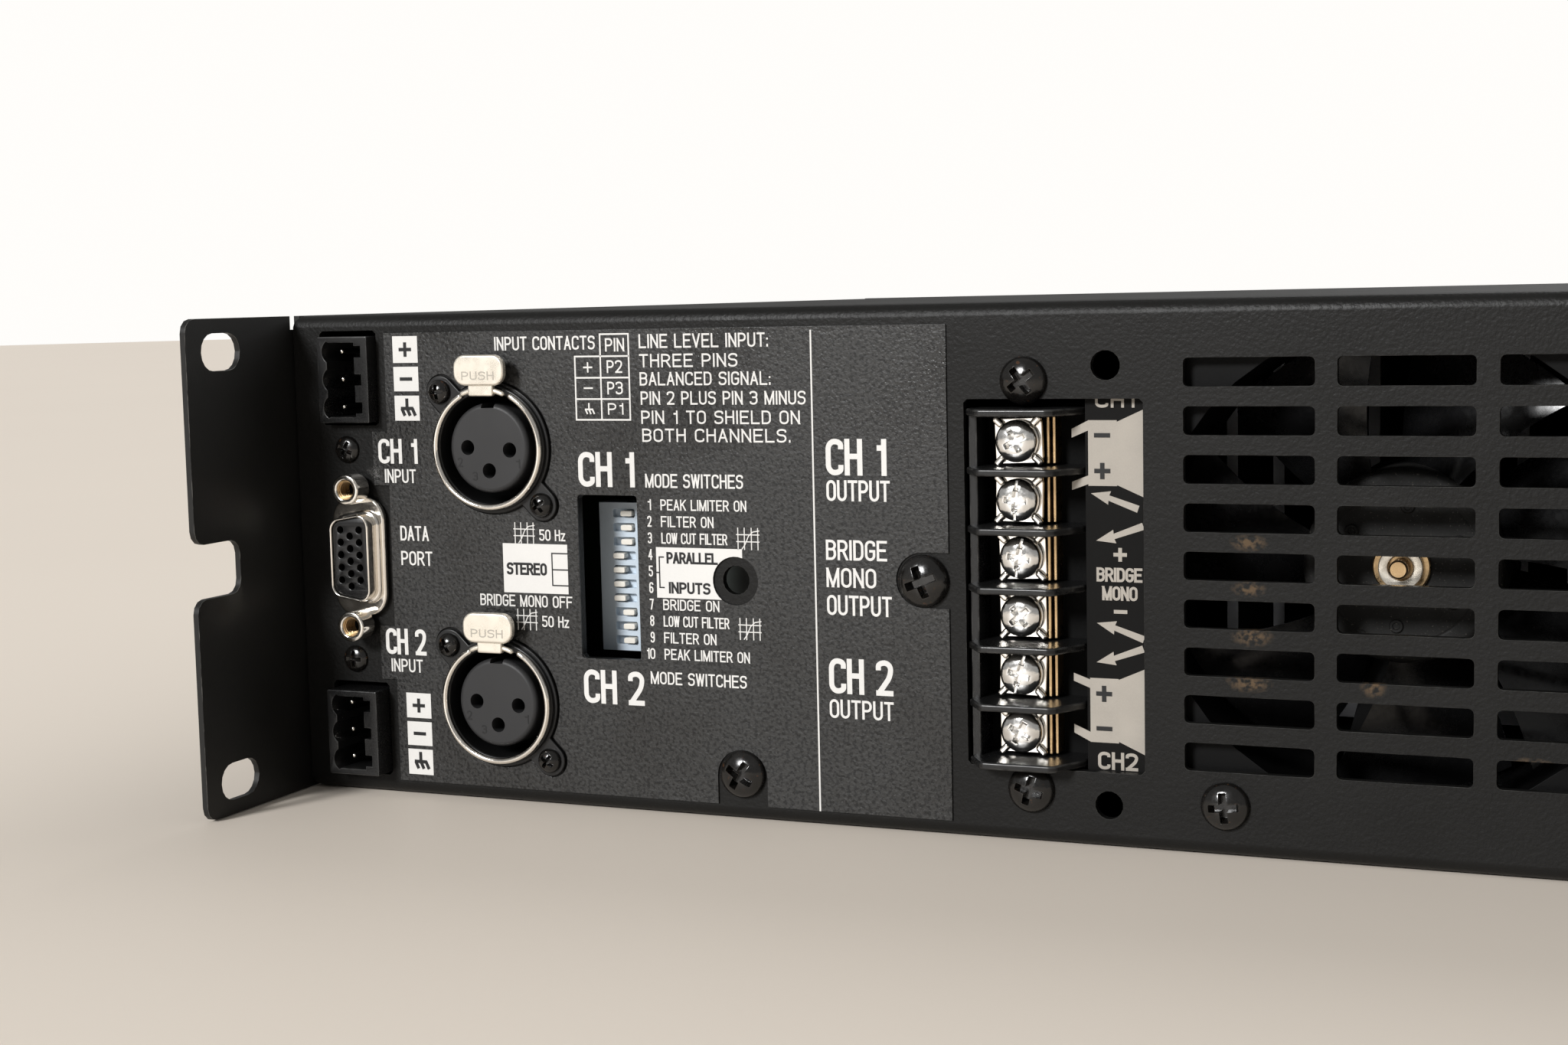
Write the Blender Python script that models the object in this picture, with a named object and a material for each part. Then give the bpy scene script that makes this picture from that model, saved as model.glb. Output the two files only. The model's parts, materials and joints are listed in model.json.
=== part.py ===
"""Two-channel 2U rack power amplifier, built in metres with +Z up.

The front panel faces -Y and the connector panel faces +Y. The origin lies on the
surface that the amplifier stands on, under the middle of its overall box.
"""

import math

import bmesh
import bpy

MM = 0.001
GAP = 0.3 * MM

# Driving dimensions of the case
HEIGHT = 88.0 * MM
CASE_WIDTH = 437.2 * MM
CASE_DEPTH = 356.0 * MM
FRONT_PANEL_WIDTH = 482.6 * MM
FRONT_PANEL_THICKNESS = 3.0 * MM
EAR_REACH = 31.0 * MM
KNOB_REACH = 15.0 * MM
SHEET = 1.5 * MM
SIDE_SHEET = 1.1 * MM
BEND_RADIUS = 2.3 * MM
FLANGE = 9.0 * MM

EAR_EDGE_Y = (KNOB_REACH + CASE_DEPTH + EAR_REACH) / 2
REAR_Y = EAR_EDGE_Y - EAR_REACH
FRONT_Y = REAR_Y - CASE_DEPTH
PANEL_BACK_Y = FRONT_Y + FRONT_PANEL_THICKNESS
INNER_HALF = CASE_WIDTH / 2 - SIDE_SHEET
MIDDLE_Z = HEIGHT / 2

# Rack fixing pattern
RACK_SPACING_X = 465.1 * MM
RACK_SPACING_Z = 76.2 * MM

# Connector panel. Places are (distance from its left end seen from behind, height)
XLR_CENTRES = ((41.8 * MM, 64.0 * MM), (41.8 * MM, 18.3 * MM))
XLR_BORE_RADIUS = 9.9 * MM
XLR_BARREL_RADIUS = 10.9 * MM
XLR_FLANGE_RADIUS = 12.0 * MM
XLR_FLANGE_FRONT = 0.9 * MM
XLR_RING_RADIUS = 11.04 * MM
XLR_INSERT_RADIUS = 8.0 * MM
XLR_DEPTH = 20.0 * MM
XLR_LOBE_OFFSET = 10.0 * MM
XLR_LOBE_RADIUS = 2.9 * MM
LATCH_SIZE = (10.2 * MM, 5.4 * MM, 2.0 * MM)

HEADER_WINDOWS = ((12.05 * MM, 76.5 * MM), (12.05 * MM, 11.95 * MM))
HEADER_WINDOW_SIZE = (12.1 * MM, 17.2 * MM)
HEADER_SIZE = (10.6 * MM, 15.6 * MM)
HEADER_CENTRES = ((12.6 * MM, 76.3 * MM), (12.6 * MM, 11.7 * MM))
HEADER_FRONTS = (2.8 * MM, 4.3 * MM)
HEADER_BACK = -9.0 * MM
HEADER_WALL = 1.1 * MM

DATA_PORT_CENTRE = (13.7 * MM, 44.0 * MM)
DATA_PORT_SIZE = (8.3 * MM, 15.9 * MM)
DATA_PORT_SKIRT = (11.0 * MM, 22.0 * MM)
DATA_PORT_FRONT = 4.8 * MM
STANDOFF_OFFSET = 12.495 * MM
STANDOFF_RADIUS = 2.75 * MM

DIP_WINDOW_CENTRE = (64.4 * MM, 41.4 * MM)
DIP_WINDOW_SIZE = (11.6 * MM, 28.9 * MM)
DIP_CENTRE = (62.6 * MM, 40.3 * MM)
DIP_SIZE = (9.9 * MM, 26.8 * MM)
DIP_FACE = -9.4 * MM
DIP_THICKNESS = 5.6 * MM
DIP_PITCH = 2.54 * MM
DIP_SLOT_SIZE = (4.3 * MM, 1.5 * MM)
DIP_SLOT_DEPTH = 1.2 * MM
SLIDER_SIZE = (2.3 * MM, 1.0 * MM)
SLIDER_TRAVEL = 1.7 * MM
SLIDER_AT_RIGHT = (True, True, True, False, False, False, False, True, True, True)

TERMINAL_WINDOW_CENTRE = (144.6 * MM, 42.35 * MM)
TERMINAL_WINDOW_SIZE = (29.6 * MM, 60.1 * MM)
TERMINAL_COUNT = 6
TERMINAL_PITCH = 9.525 * MM
TERMINAL_CENTRE_Z = 41.8 * MM
TERMINAL_SCREW_U = 138.6 * MM
TERMINAL_BACKED_OUT = (1.5 * MM, 1.5 * MM, 0.0, 0.0, 0.5 * MM, 0.5 * MM)
BLOCK_LEFT_U = 130.4 * MM
BLOCK_RIGHT_U = 149.2 * MM
BLOCK_FLOOR = -7.0 * MM
BLOCK_BACK = -15.0 * MM
FIN_FRONT = 5.0 * MM
FIN_THICKNESS = 1.2 * MM
CLAMP_SIZE = (8.2 * MM, 7.6 * MM)

VENT_LEFT_U = 165.8 * MM
VENT_SLOT_SIZE = (20.3 * MM, 4.5 * MM)
VENT_PITCH = (23.67 * MM, 7.59 * MM)
VENT_TOP_Z = 76.52 * MM
VENT_COLUMNS = 3
VENT_ROWS = 9

FAN_CENTRE = (198.0 * MM, 45.8 * MM)
FAN_SIZE = 80.0 * MM
FAN_BORE_RADIUS = 38.0 * MM
FAN_FRONT = -3.0 * MM
FAN_BACK = -28.0 * MM
HUB_RADIUS = 15.4 * MM
BLADE_COUNT = 7
BLADE_RADIUS = 36.8 * MM

INLET_CENTRE = (398.0 * MM, 44.0 * MM)
INLET_FLANGE = (50.0 * MM, 28.0 * MM)
INLET_BODY = (30.0 * MM, 22.6 * MM)
INLET_CAVITY = (24.4 * MM, 16.4 * MM)
INLET_DEPTH = 17.0 * MM

PLAIN_HOLES = (  # place and radius of the open round holes
    ((88.6 * MM, 41.6 * MM), 2.5 * MM),
    ((153.4 * MM, 77.7 * MM), 2.4 * MM),
    ((153.5 * MM, 7.0 * MM), 2.3 * MM),
)

# Front panel. Places are (x, height)
KNOB_CENTRES = ((92.0 * MM, 44.0 * MM), (146.0 * MM, 44.0 * MM))
KNOB_RADIUS = 12.5 * MM
ROCKER_CENTRE = (196.0 * MM, 44.0 * MM)
ROCKER_BEZEL = (22.0 * MM, 30.0 * MM)
ROCKER_OPENING = (13.4 * MM, 20.4 * MM)
ROCKER_REST_ANGLE = math.radians(7.0)
FRONT_VENT_SIZE = (39.0 * MM, 4.5 * MM)
FRONT_VENT_COLUMNS = (-180.5 * MM, -136.5 * MM, -92.5 * MM, -48.5 * MM)
FRONT_VENT_ROWS = 7
FRONT_VENT_PITCH_Z = 9.0 * MM


# Outlines -------------------------------------------------------------------

def circle(centre, radius, count):
    """Points of a round outline, anticlockwise."""
    turns = [2 * math.pi * (i + 0.5) / count for i in range(count)]
    return [(centre[0] + radius * math.cos(t), centre[1] + radius * math.sin(t)) for t in turns]


def arc(centre, radius, start, end, steps):
    """Points of an arc between two angles in degrees."""
    angles = [math.radians(start + (end - start) * i / steps) for i in range(steps + 1)]
    return [(centre[0] + radius * math.cos(t), centre[1] + radius * math.sin(t)) for t in angles]


def rounded_rectangle(centre, size, radius, steps=2):
    """An upright rectangle with its corners rounded."""
    reach_a, reach_b = size[0] / 2 - radius, size[1] / 2 - radius
    points = []
    for start, side_a, side_b in ((0, 1, 1), (90, -1, 1), (180, -1, -1), (270, 1, -1)):
        corner = (centre[0] + side_a * reach_a, centre[1] + side_b * reach_b)
        points += arc(corner, radius, start, start + 90, steps)
    return points


def rectangle(low_a, high_a, low_b, high_b):
    return [(low_a, low_b), (high_a, low_b), (high_a, high_b), (low_a, high_b)]


def hull(points):
    """The convex outline around a set of points, anticlockwise."""
    ordered = sorted(set(points))

    def half(sequence):
        chain = []
        for point in sequence:
            while len(chain) > 1 and turn(chain[-2], chain[-1], point) <= 0:
                chain.pop()
            chain.append(point)
        return chain[:-1]

    return half(ordered) + half(ordered[::-1])


def turn(first, second, third):
    """Positive where three points turn left."""
    run_a, run_b = (second[0] - first[0], third[0] - first[0])
    rise_a, rise_b = (second[1] - first[1], third[1] - first[1])
    return run_a * rise_b - rise_a * run_b


def d_outline(centre, size, radius):
    """A D-shaped connector outline whose longer side is on the -X side."""
    half_a, half_b = size[0] / 2, size[1] / 2
    lean = (size[0] - 2 * radius) * math.tan(math.radians(10.0))
    x, z = centre
    corners = [(x - half_a, z - half_b), (x + half_a, z - half_b + lean),
               (x + half_a, z + half_b - lean), (x - half_a, z + half_b)]
    inset = (radius, radius * 1.1)
    inner = [(a + inset[0] * (1 if a < x else -1), b + inset[1] * (1 if b < z else -1)) for a, b in corners]
    return hull([point for corner in inner for point in circle(corner, radius, 12)])


# Solids ---------------------------------------------------------------------

def add_prism(bm, outline, low, high, along="Y"):
    """Extrudes an outline. Along X it holds (y, z), along Y (x, z) and along Z (x, y)."""
    def corner(a, b, level):
        return {"X": (level, a, b), "Y": (a, level, b), "Z": (a, b, level)}[along]

    first = [bm.verts.new(corner(a, b, low)) for a, b in outline]
    last = [bm.verts.new(corner(a, b, high)) for a, b in outline]
    bm.faces.new(first)
    bm.faces.new(last)
    for i in range(len(outline)):
        bm.faces.new((first[i], first[i - 1], last[i - 1], last[i]))


def add_box(bm, low, high):
    add_prism(bm, rectangle(low[0], high[0], low[1], high[1]), low[2], high[2], "Z")


def add_turned(bm, profile, count, centre=(0.0, 0.0)):
    """Turns (radius, y) points about an axis along Y through centre (x, z)."""
    rings = []
    for radius, level in profile:
        rings.append([bm.verts.new((x, level, z)) for x, z in circle(centre, radius, count)])
    bm.faces.new(rings[0])
    bm.faces.new(rings[-1])
    for near, far in zip(rings, rings[1:]):
        for i in range(count):
            bm.faces.new((near[i - 1], near[i], far[i], far[i - 1]))


def make(name, bm, surface=None, location=(0.0, 0.0, 0.0), smooth=False):
    """Turns a bmesh into a named object with its own material."""
    bmesh.ops.recalc_face_normals(bm, faces=bm.faces)
    mesh = bpy.data.meshes.new(name)
    bm.to_mesh(mesh)
    bm.free()
    if smooth:
        mesh.shade_smooth()
        mesh.set_sharp_from_angle(angle=math.radians(40.0))
    thing = bpy.data.objects.new(name, mesh)
    thing.location = location
    bpy.context.scene.collection.objects.link(thing)
    if surface:
        mesh.materials.append(surface)
    return thing


def helper(name, bm, location=(0.0, 0.0, 0.0)):
    """A Boolean operand, which isn't part of the object."""
    thing = make(name, bm, location=location)
    thing.hide_render = True
    thing.display_type = "WIRE"
    return thing


def combine(thing, operand, operation):
    step = thing.modifiers.new(operand.name, "BOOLEAN")
    step.operation = operation
    step.solver = "EXACT"
    step.object = operand


def cut(thing, bm):
    combine(thing, helper(thing.name + "_cutter", bm, thing.location), "DIFFERENCE")


def unite(thing, bm):
    combine(thing, helper(thing.name + "_addition", bm, thing.location), "UNION")


def surface(name, colour, roughness, metallic=0.0):
    """A Principled material."""
    made = bpy.data.materials.new(name)
    made.use_nodes = True
    shader = made.node_tree.nodes["Principled BSDF"]
    shader.inputs["Base Color"].default_value = (*colour, 1.0)
    shader.inputs["Roughness"].default_value = roughness
    shader.inputs["Metallic"].default_value = metallic
    return made


# Places on the connector panel ----------------------------------------------

def rear_x(from_left):
    """X of a distance from the panel's left end, seen from behind."""
    return INNER_HALF - from_left


def rear_point(place, out=0.0):
    """World point of a place on the connector panel, that far out of its face."""
    return (rear_x(place[0]), REAR_Y + out, place[1])


# Case -----------------------------------------------------------------------

def case_plates(paint):
    """The flat base and top cover, between the front and rear panels."""
    reach = INNER_HALF - GAP
    front, rear = PANEL_BACK_Y + GAP, REAR_Y - FLANGE - GAP
    for name, low, high in (("base_pan", 0.0, SHEET), ("top_cover", HEIGHT - SHEET, HEIGHT)):
        bm = bmesh.new()
        add_box(bm, (-reach, front, low), (reach, rear, high))
        make(name, bm, paint)


def side_panels(paint):
    """Each side is one flat sheet that runs on behind the rear panel as a rack ear."""
    corner, notch_half, notch_depth = 2.5 * MM, 4.8 * MM, 12.5 * MM
    notch_front = EAR_EDGE_Y - notch_depth
    relief_low = HEIGHT - 2.5 * MM
    outline = [(PANEL_BACK_Y + GAP, 0.0)]
    outline += arc((EAR_EDGE_Y - corner, corner), corner, 270, 360, 3)
    outline += arc((EAR_EDGE_Y - corner, MIDDLE_Z - notch_half - corner), corner, 0, 90, 3)
    outline += arc((notch_front + corner, MIDDLE_Z - notch_half + corner), corner, 270, 180, 3)
    outline += arc((notch_front + corner, MIDDLE_Z + notch_half - corner), corner, 180, 90, 3)
    outline += arc((EAR_EDGE_Y - corner, MIDDLE_Z + notch_half + corner), corner, 270, 360, 3)
    outline += arc((EAR_EDGE_Y - corner, HEIGHT - corner), corner, 0, 90, 3)
    outline += [(REAR_Y + 0.4 * MM, HEIGHT), (REAR_Y + 0.4 * MM, relief_low)]
    outline += [(REAR_Y - 2.4 * MM, relief_low), (REAR_Y - 2.4 * MM, HEIGHT)]
    outline += [(PANEL_BACK_Y + GAP, HEIGHT)]
    for name, side in (("left_side_panel", -1), ("right_side_panel", 1)):
        bm = bmesh.new()
        add_prism(bm, outline, side * INNER_HALF, side * (INNER_HALF + SIDE_SHEET), "X")
        panel = make(name, bm, paint)
        holes = bmesh.new()
        for height in (MIDDLE_Z - RACK_SPACING_Z / 2, MIDDLE_Z + RACK_SPACING_Z / 2):
            slot = rounded_rectangle((REAR_Y + 21.3 * MM, height), (10.9 * MM, 6.6 * MM), 3.25 * MM, 4)
            add_prism(holes, slot, side * (INNER_HALF - SHEET), side * (INNER_HALF + 2 * SHEET), "X")
        cut(panel, holes)


def rear_panel(paint):
    """A sheet folded forward along its top and bottom, with every opening punched through it."""
    inner = BEND_RADIUS - SHEET
    bend_y, low_z, high_z = REAR_Y - BEND_RADIUS, BEND_RADIUS, HEIGHT - BEND_RADIUS
    outline = [(REAR_Y - FLANGE, 0.0)]
    outline += arc((bend_y, low_z), BEND_RADIUS, 270, 360, 4)
    outline += arc((bend_y, high_z), BEND_RADIUS, 0, 90, 4)
    outline += [(REAR_Y - FLANGE, HEIGHT), (REAR_Y - FLANGE, HEIGHT - SHEET)]
    outline += arc((bend_y, high_z), inner, 90, 0, 2)
    outline += arc((bend_y, low_z), inner, 0, -90, 2)
    outline += [(REAR_Y - FLANGE, SHEET)]
    bm = bmesh.new()
    reach = INNER_HALF - GAP
    add_prism(bm, outline, -reach, reach, "X")
    panel = make("rear_panel", bm, paint)

    openings = []
    for place in HEADER_WINDOWS:
        openings.append(rounded_rectangle((rear_x(place[0]), place[1]), HEADER_WINDOW_SIZE, 0.6 * MM, 1))
    for place in XLR_CENTRES:
        openings.append(circle((rear_x(place[0]), place[1]), XLR_BARREL_RADIUS + 0.4 * MM, 28))
    for place, size in ((DATA_PORT_CENTRE, (9.4 * MM, 17.0 * MM)), (DIP_WINDOW_CENTRE, DIP_WINDOW_SIZE),
                        (TERMINAL_WINDOW_CENTRE, TERMINAL_WINDOW_SIZE),
                        (INLET_CENTRE, (INLET_BODY[0] + 1.0 * MM, INLET_BODY[1] + 1.0 * MM))):
        openings.append(rounded_rectangle((rear_x(place[0]), place[1]), size, 0.6 * MM, 1))
    for place, radius in PLAIN_HOLES:
        openings.append(circle((rear_x(place[0]), place[1]), radius, 16))
    openings += vent_slots()
    holes = bmesh.new()
    for opening in openings:
        add_prism(holes, opening, REAR_Y - 2 * SHEET, REAR_Y + SHEET)
    cut(panel, holes)

    corners = bmesh.new()
    frame = rounded_rectangle((0.0, MIDDLE_Z), (2 * reach, HEIGHT), 2.0 * MM, 3)
    add_prism(corners, frame, REAR_Y - 2 * FLANGE, REAR_Y + SHEET)
    combine(panel, helper("rear_panel_corners", corners), "INTERSECT")


def vent_slots():
    """Outlines of the exhaust slots, in columns of rows."""
    width, height = VENT_SLOT_SIZE
    slots = []
    for column in range(VENT_COLUMNS):
        x = rear_x(VENT_LEFT_U + column * VENT_PITCH[0] + width / 2)
        for row in range(VENT_ROWS):
            place = (x, VENT_TOP_Z - row * VENT_PITCH[1])
            slots.append(rounded_rectangle(place, (width, height), 0.8 * MM, 3))
    return slots


def front_panel(paint):
    """The rack panel, with its fixing slots, air slots and control openings."""
    bm = bmesh.new()
    frame = rounded_rectangle((0.0, MIDDLE_Z), (FRONT_PANEL_WIDTH, HEIGHT), 1.5 * MM, 2)
    add_prism(bm, frame, FRONT_Y, PANEL_BACK_Y)
    panel = make("front_panel", bm, paint)
    openings = []
    for side_x in (-1, 1):
        for side_z in (-1, 1):
            place = (side_x * RACK_SPACING_X / 2, MIDDLE_Z + side_z * RACK_SPACING_Z / 2)
            openings.append(rounded_rectangle(place, (10.2 * MM, 6.8 * MM), 3.35 * MM, 4))
    for place in KNOB_CENTRES:
        openings.append(circle(place, 3.6 * MM, 16))
    openings.append(rounded_rectangle(ROCKER_CENTRE, (18.4 * MM, 26.4 * MM), 0.8 * MM, 1))
    for column in FRONT_VENT_COLUMNS:
        for row in range(FRONT_VENT_ROWS):
            place = (column, MIDDLE_Z + (row - (FRONT_VENT_ROWS - 1) / 2) * FRONT_VENT_PITCH_Z)
            openings.append(rounded_rectangle(place, FRONT_VENT_SIZE, 2.0 * MM, 2))
    holes = bmesh.new()
    for opening in openings:
        add_prism(holes, opening, FRONT_Y - SHEET, PANEL_BACK_Y + SHEET)
    cut(panel, holes)


def air_filter(foam):
    """The foam sheet behind the front panel's air slots."""
    bm = bmesh.new()
    back = PANEL_BACK_Y + GAP
    add_box(bm, (-202.0 * MM, back, 8.0 * MM), (-26.0 * MM, back + 6.0 * MM, 80.0 * MM))
    make("air_filter", bm, foam)


# Signal connectors ----------------------------------------------------------

def xlr_socket(number, place, black, nickel, grey, cream):
    """Black shell with two screw lobes, nickel ring, grey insert and push latch."""
    location = rear_point(place)
    lobes = ((XLR_LOBE_OFFSET, XLR_LOBE_OFFSET), (-XLR_LOBE_OFFSET, -XLR_LOBE_OFFSET))
    outline = circle((0.0, 0.0), XLR_FLANGE_RADIUS, 32)
    for lobe in lobes:
        outline = outline + circle(lobe, XLR_LOBE_RADIUS, 16)
    bm = bmesh.new()
    add_prism(bm, hull(outline), GAP, XLR_FLANGE_FRONT)
    shell = make("xlr_%d_shell" % number, bm, black, location, smooth=True)
    barrel = bmesh.new()
    add_turned(barrel, ((XLR_BARREL_RADIUS, -XLR_DEPTH - 1.5 * MM), (XLR_BARREL_RADIUS, 0.6 * MM)), 28)
    unite(shell, barrel)
    bore = bmesh.new()
    add_turned(bore, ((XLR_BORE_RADIUS, -XLR_DEPTH), (XLR_BORE_RADIUS, 4.0 * MM)), 28)
    cut(shell, bore)

    bm = bmesh.new()
    add_xlr_ring(bm)
    make("xlr_%d_ring" % number, bm, nickel, location, smooth=True)

    bm = bmesh.new()
    radius, front = XLR_INSERT_RADIUS, 1.6 * MM
    add_turned(bm, ((radius, -XLR_DEPTH + GAP), (radius, front - 0.7 * MM), (radius - 0.8 * MM, front)), 24)
    make("xlr_%d_insert" % number, bm, grey, location, smooth=True)

    width, height, thickness = LATCH_SIZE
    middle = 14.0 * MM
    base = 2.6 * MM
    bm = bmesh.new()
    add_prism(bm, rounded_rectangle((0.0, middle), (width, height), 2.2 * MM, 3), base, base + thickness)
    latch = make("xlr_%d_latch" % number, bm, cream, location, smooth=True)
    stem = bmesh.new()
    add_box(stem, (-2.6 * MM, base, 9.6 * MM), (2.6 * MM, base + 1.2 * MM, middle))
    unite(latch, stem)


def add_xlr_ring(bm):
    """An open ring whose gap at the top lets the latch through."""
    steps, section_count = 30, 6
    bead = 0.55 * MM
    path_radius, level = XLR_RING_RADIUS - bead, 2.2 * MM
    sections = []
    for i in range(steps + 1):
        angle = math.radians(118 + 304 * i / steps)
        ring = []
        for a, b in circle((path_radius, level), bead, section_count):
            ring.append(bm.verts.new((a * math.cos(angle), b, a * math.sin(angle))))
        sections.append(ring)
    bm.faces.new(sections[0])
    bm.faces.new(sections[-1])
    for near, far in zip(sections, sections[1:]):
        for j in range(section_count):
            bm.faces.new((near[j - 1], near[j], far[j], far[j - 1]))


def input_headers(black):
    """Two three-way pluggable terminal headers, open at the front."""
    for number, (place, front) in enumerate(zip(HEADER_CENTRES, HEADER_FRONTS), 1):
        bm = bmesh.new()
        add_prism(bm, rounded_rectangle((0.0, 0.0), HEADER_SIZE, 0.3 * MM, 1), HEADER_BACK, front)
        header = make("input_header_%d" % number, bm, black, rear_point(place))
        cavity = bmesh.new()
        inside = (HEADER_SIZE[0] - 2 * HEADER_WALL, HEADER_SIZE[1] - 2 * HEADER_WALL)
        outline = rounded_rectangle((0.0, 0.0), inside, 0.3 * MM, 1)
        add_prism(cavity, outline, HEADER_BACK + HEADER_WALL, front + MM)
        cut(header, cavity)


def data_port(nickel, grey):
    """A 15-way socket: skirted shell, insulator and two threaded standoffs."""
    location = rear_point(DATA_PORT_CENTRE)
    bm = bmesh.new()
    add_prism(bm, rounded_rectangle((0.0, 0.0), DATA_PORT_SKIRT, 3.5 * MM, 4), GAP, 1.0 * MM)
    shell = make("data_port_shell", bm, nickel, location, smooth=True)
    wall = bmesh.new()
    add_prism(wall, d_outline((0.0, 0.0), DATA_PORT_SIZE, 2.0 * MM), 0.5 * MM, DATA_PORT_FRONT)
    unite(shell, wall)
    inside = (DATA_PORT_SIZE[0] - 1.0 * MM, DATA_PORT_SIZE[1] - 1.0 * MM)
    hollow = bmesh.new()
    add_prism(hollow, d_outline((0.0, 0.0), inside, 1.6 * MM), -1.0 * MM, DATA_PORT_FRONT + 1.0 * MM)
    cut(shell, hollow)

    filled = (inside[0] - 0.6 * MM, inside[1] - 0.6 * MM)
    bm = bmesh.new()
    add_prism(bm, d_outline((0.0, 0.0), filled, 1.4 * MM), -7.0 * MM, DATA_PORT_FRONT - 0.3 * MM)
    make("data_port_insulator", bm, grey, location, smooth=True)

    for number, side in ((1, 1), (2, -1)):
        bm = bmesh.new()
        radius, back, front = STANDOFF_RADIUS, 1.3 * MM, 5.4 * MM
        add_turned(bm, ((radius, back), (radius, front - 0.4 * MM), (radius - 0.4 * MM, front)), 16)
        place = (DATA_PORT_CENTRE[0], DATA_PORT_CENTRE[1] + side * STANDOFF_OFFSET)
        post = make("data_port_standoff_%d" % number, bm, nickel, rear_point(place), smooth=True)
        thread = bmesh.new()
        add_turned(thread, ((1.45 * MM, 1.9 * MM), (1.45 * MM, front + 1.0 * MM)), 12)
        cut(post, thread)


# Mode switch ----------------------------------------------------------------

def mode_switch(blue, cream):
    """A ten-way slide switch behind its window. Each slider runs along X in its own slot."""
    width, height = DIP_SIZE
    location = rear_point(DIP_CENTRE, DIP_FACE)
    bm = bmesh.new()
    add_prism(bm, rectangle(-width / 2, width / 2, -height / 2, height / 2), -DIP_THICKNESS, 0.0)
    body = make("mode_switch_body", bm, blue, location)
    slots = bmesh.new()
    for index in range(len(SLIDER_AT_RIGHT)):
        slot = rounded_rectangle((0.0, slider_height(index)), DIP_SLOT_SIZE, 0.2 * MM, 1)
        add_prism(slots, slot, -DIP_SLOT_DEPTH, 1.0 * MM)
    cut(body, slots)
    for index, at_right in enumerate(SLIDER_AT_RIGHT):
        offset = -SLIDER_TRAVEL / 2 if at_right else SLIDER_TRAVEL / 2
        place = (location[0] + offset, location[1], location[2] + slider_height(index))
        bm = bmesh.new()
        outline = rounded_rectangle((0.0, 0.0), SLIDER_SIZE, 0.2 * MM, 1)
        add_prism(bm, outline, -DIP_SLOT_DEPTH + GAP, 0.8 * MM)
        make("mode_slider_%d" % (index + 1), bm, cream, place)


def slider_height(index):
    """Height of a slider over the middle of the switch."""
    return ((len(SLIDER_AT_RIGHT) - 1) / 2 - index) * DIP_PITCH


# Output terminals -----------------------------------------------------------

def terminal_height(index):
    """Height of a terminal's cell above the base."""
    return TERMINAL_CENTRE_Z + ((TERMINAL_COUNT - 1) / 2 - index) * TERMINAL_PITCH


def terminal_block(black):
    """A barrier strip: a floor, a rail at each side and fins between the cells."""
    left, right = rear_x(BLOCK_LEFT_U), rear_x(BLOCK_RIGHT_U)
    half = TERMINAL_COUNT * TERMINAL_PITCH / 2
    low, high = TERMINAL_CENTRE_Z - half, TERMINAL_CENTRE_Z + half
    end = FIN_THICKNESS / 2
    bm = bmesh.new()
    add_box(bm, (right, REAR_Y + BLOCK_BACK, low - end), (left, REAR_Y + BLOCK_FLOOR, high + end))
    block = make("terminal_block", bm, black)

    rails = bmesh.new()
    for outer, inner, front in ((left, left - 1.5 * MM, -0.5 * MM), (right, right + 2.0 * MM, -3.0 * MM)):
        add_box(rails, (min(outer, inner), REAR_Y + BLOCK_FLOOR - 1.0 * MM, low - end),
                (max(outer, inner), REAR_Y + front, high + end))
    unite(block, rails)

    fins = bmesh.new()
    floor, front = REAR_Y + BLOCK_FLOOR - 1.0 * MM, REAR_Y + FIN_FRONT
    fin = [(right, floor), (left, floor), (left, front - 4.5 * MM), (left - 1.6 * MM, front - 0.8 * MM)]
    fin += [(left - 3.2 * MM, front), (right + 4.4 * MM, front), (right + 2.0 * MM, front - 0.9 * MM)]
    fin += [(right, front - 3.4 * MM)]
    for index in range(TERMINAL_COUNT + 1):
        middle = high - index * TERMINAL_PITCH
        add_prism(fins, fin, middle - end, middle + end, "Z")
    combine(block, helper("terminal_block_fins", fins), "UNION")

    wells = bmesh.new()
    for index in range(TERMINAL_COUNT):
        centre = (rear_x(TERMINAL_SCREW_U), terminal_height(index))
        profile = ((2.1 * MM, REAR_Y + BLOCK_BACK + 1.2 * MM), (2.1 * MM, REAR_Y + BLOCK_FLOOR + 1.0 * MM))
        add_turned(wells, profile, 12, centre)
    cut(block, wells)


def terminal_hardware(nickel):
    """Six clamp plates, and the screw that carries each plate out as it is undone."""
    plate_back, plate_front = -4.0 * MM, -3.0 * MM
    head_back, head_front = plate_front + GAP, -0.4 * MM
    for index, backed_out in enumerate(TERMINAL_BACKED_OUT):
        location = rear_point((TERMINAL_SCREW_U, terminal_height(index)), backed_out)
        bm = bmesh.new()
        add_prism(bm, rounded_rectangle((0.0, 0.0), CLAMP_SIZE, 1.4 * MM, 1), plate_back, plate_front)
        plate = make("clamp_plate_%d" % (index + 1), bm, nickel, location)
        hole = bmesh.new()
        add_turned(hole, ((2.05 * MM, plate_back - 1.0 * MM), (2.05 * MM, plate_front + 1.0 * MM)), 12)
        cut(plate, hole)

        bm = bmesh.new()
        profile = ((1.7 * MM, -12.0 * MM), (1.7 * MM, head_back), (3.5 * MM, head_back),
                   (3.5 * MM, head_front - 1.2 * MM), (2.4 * MM, head_front))
        add_turned(bm, profile, 16)
        make("terminal_screw_%d" % (index + 1), bm, nickel, location, smooth=True)


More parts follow.
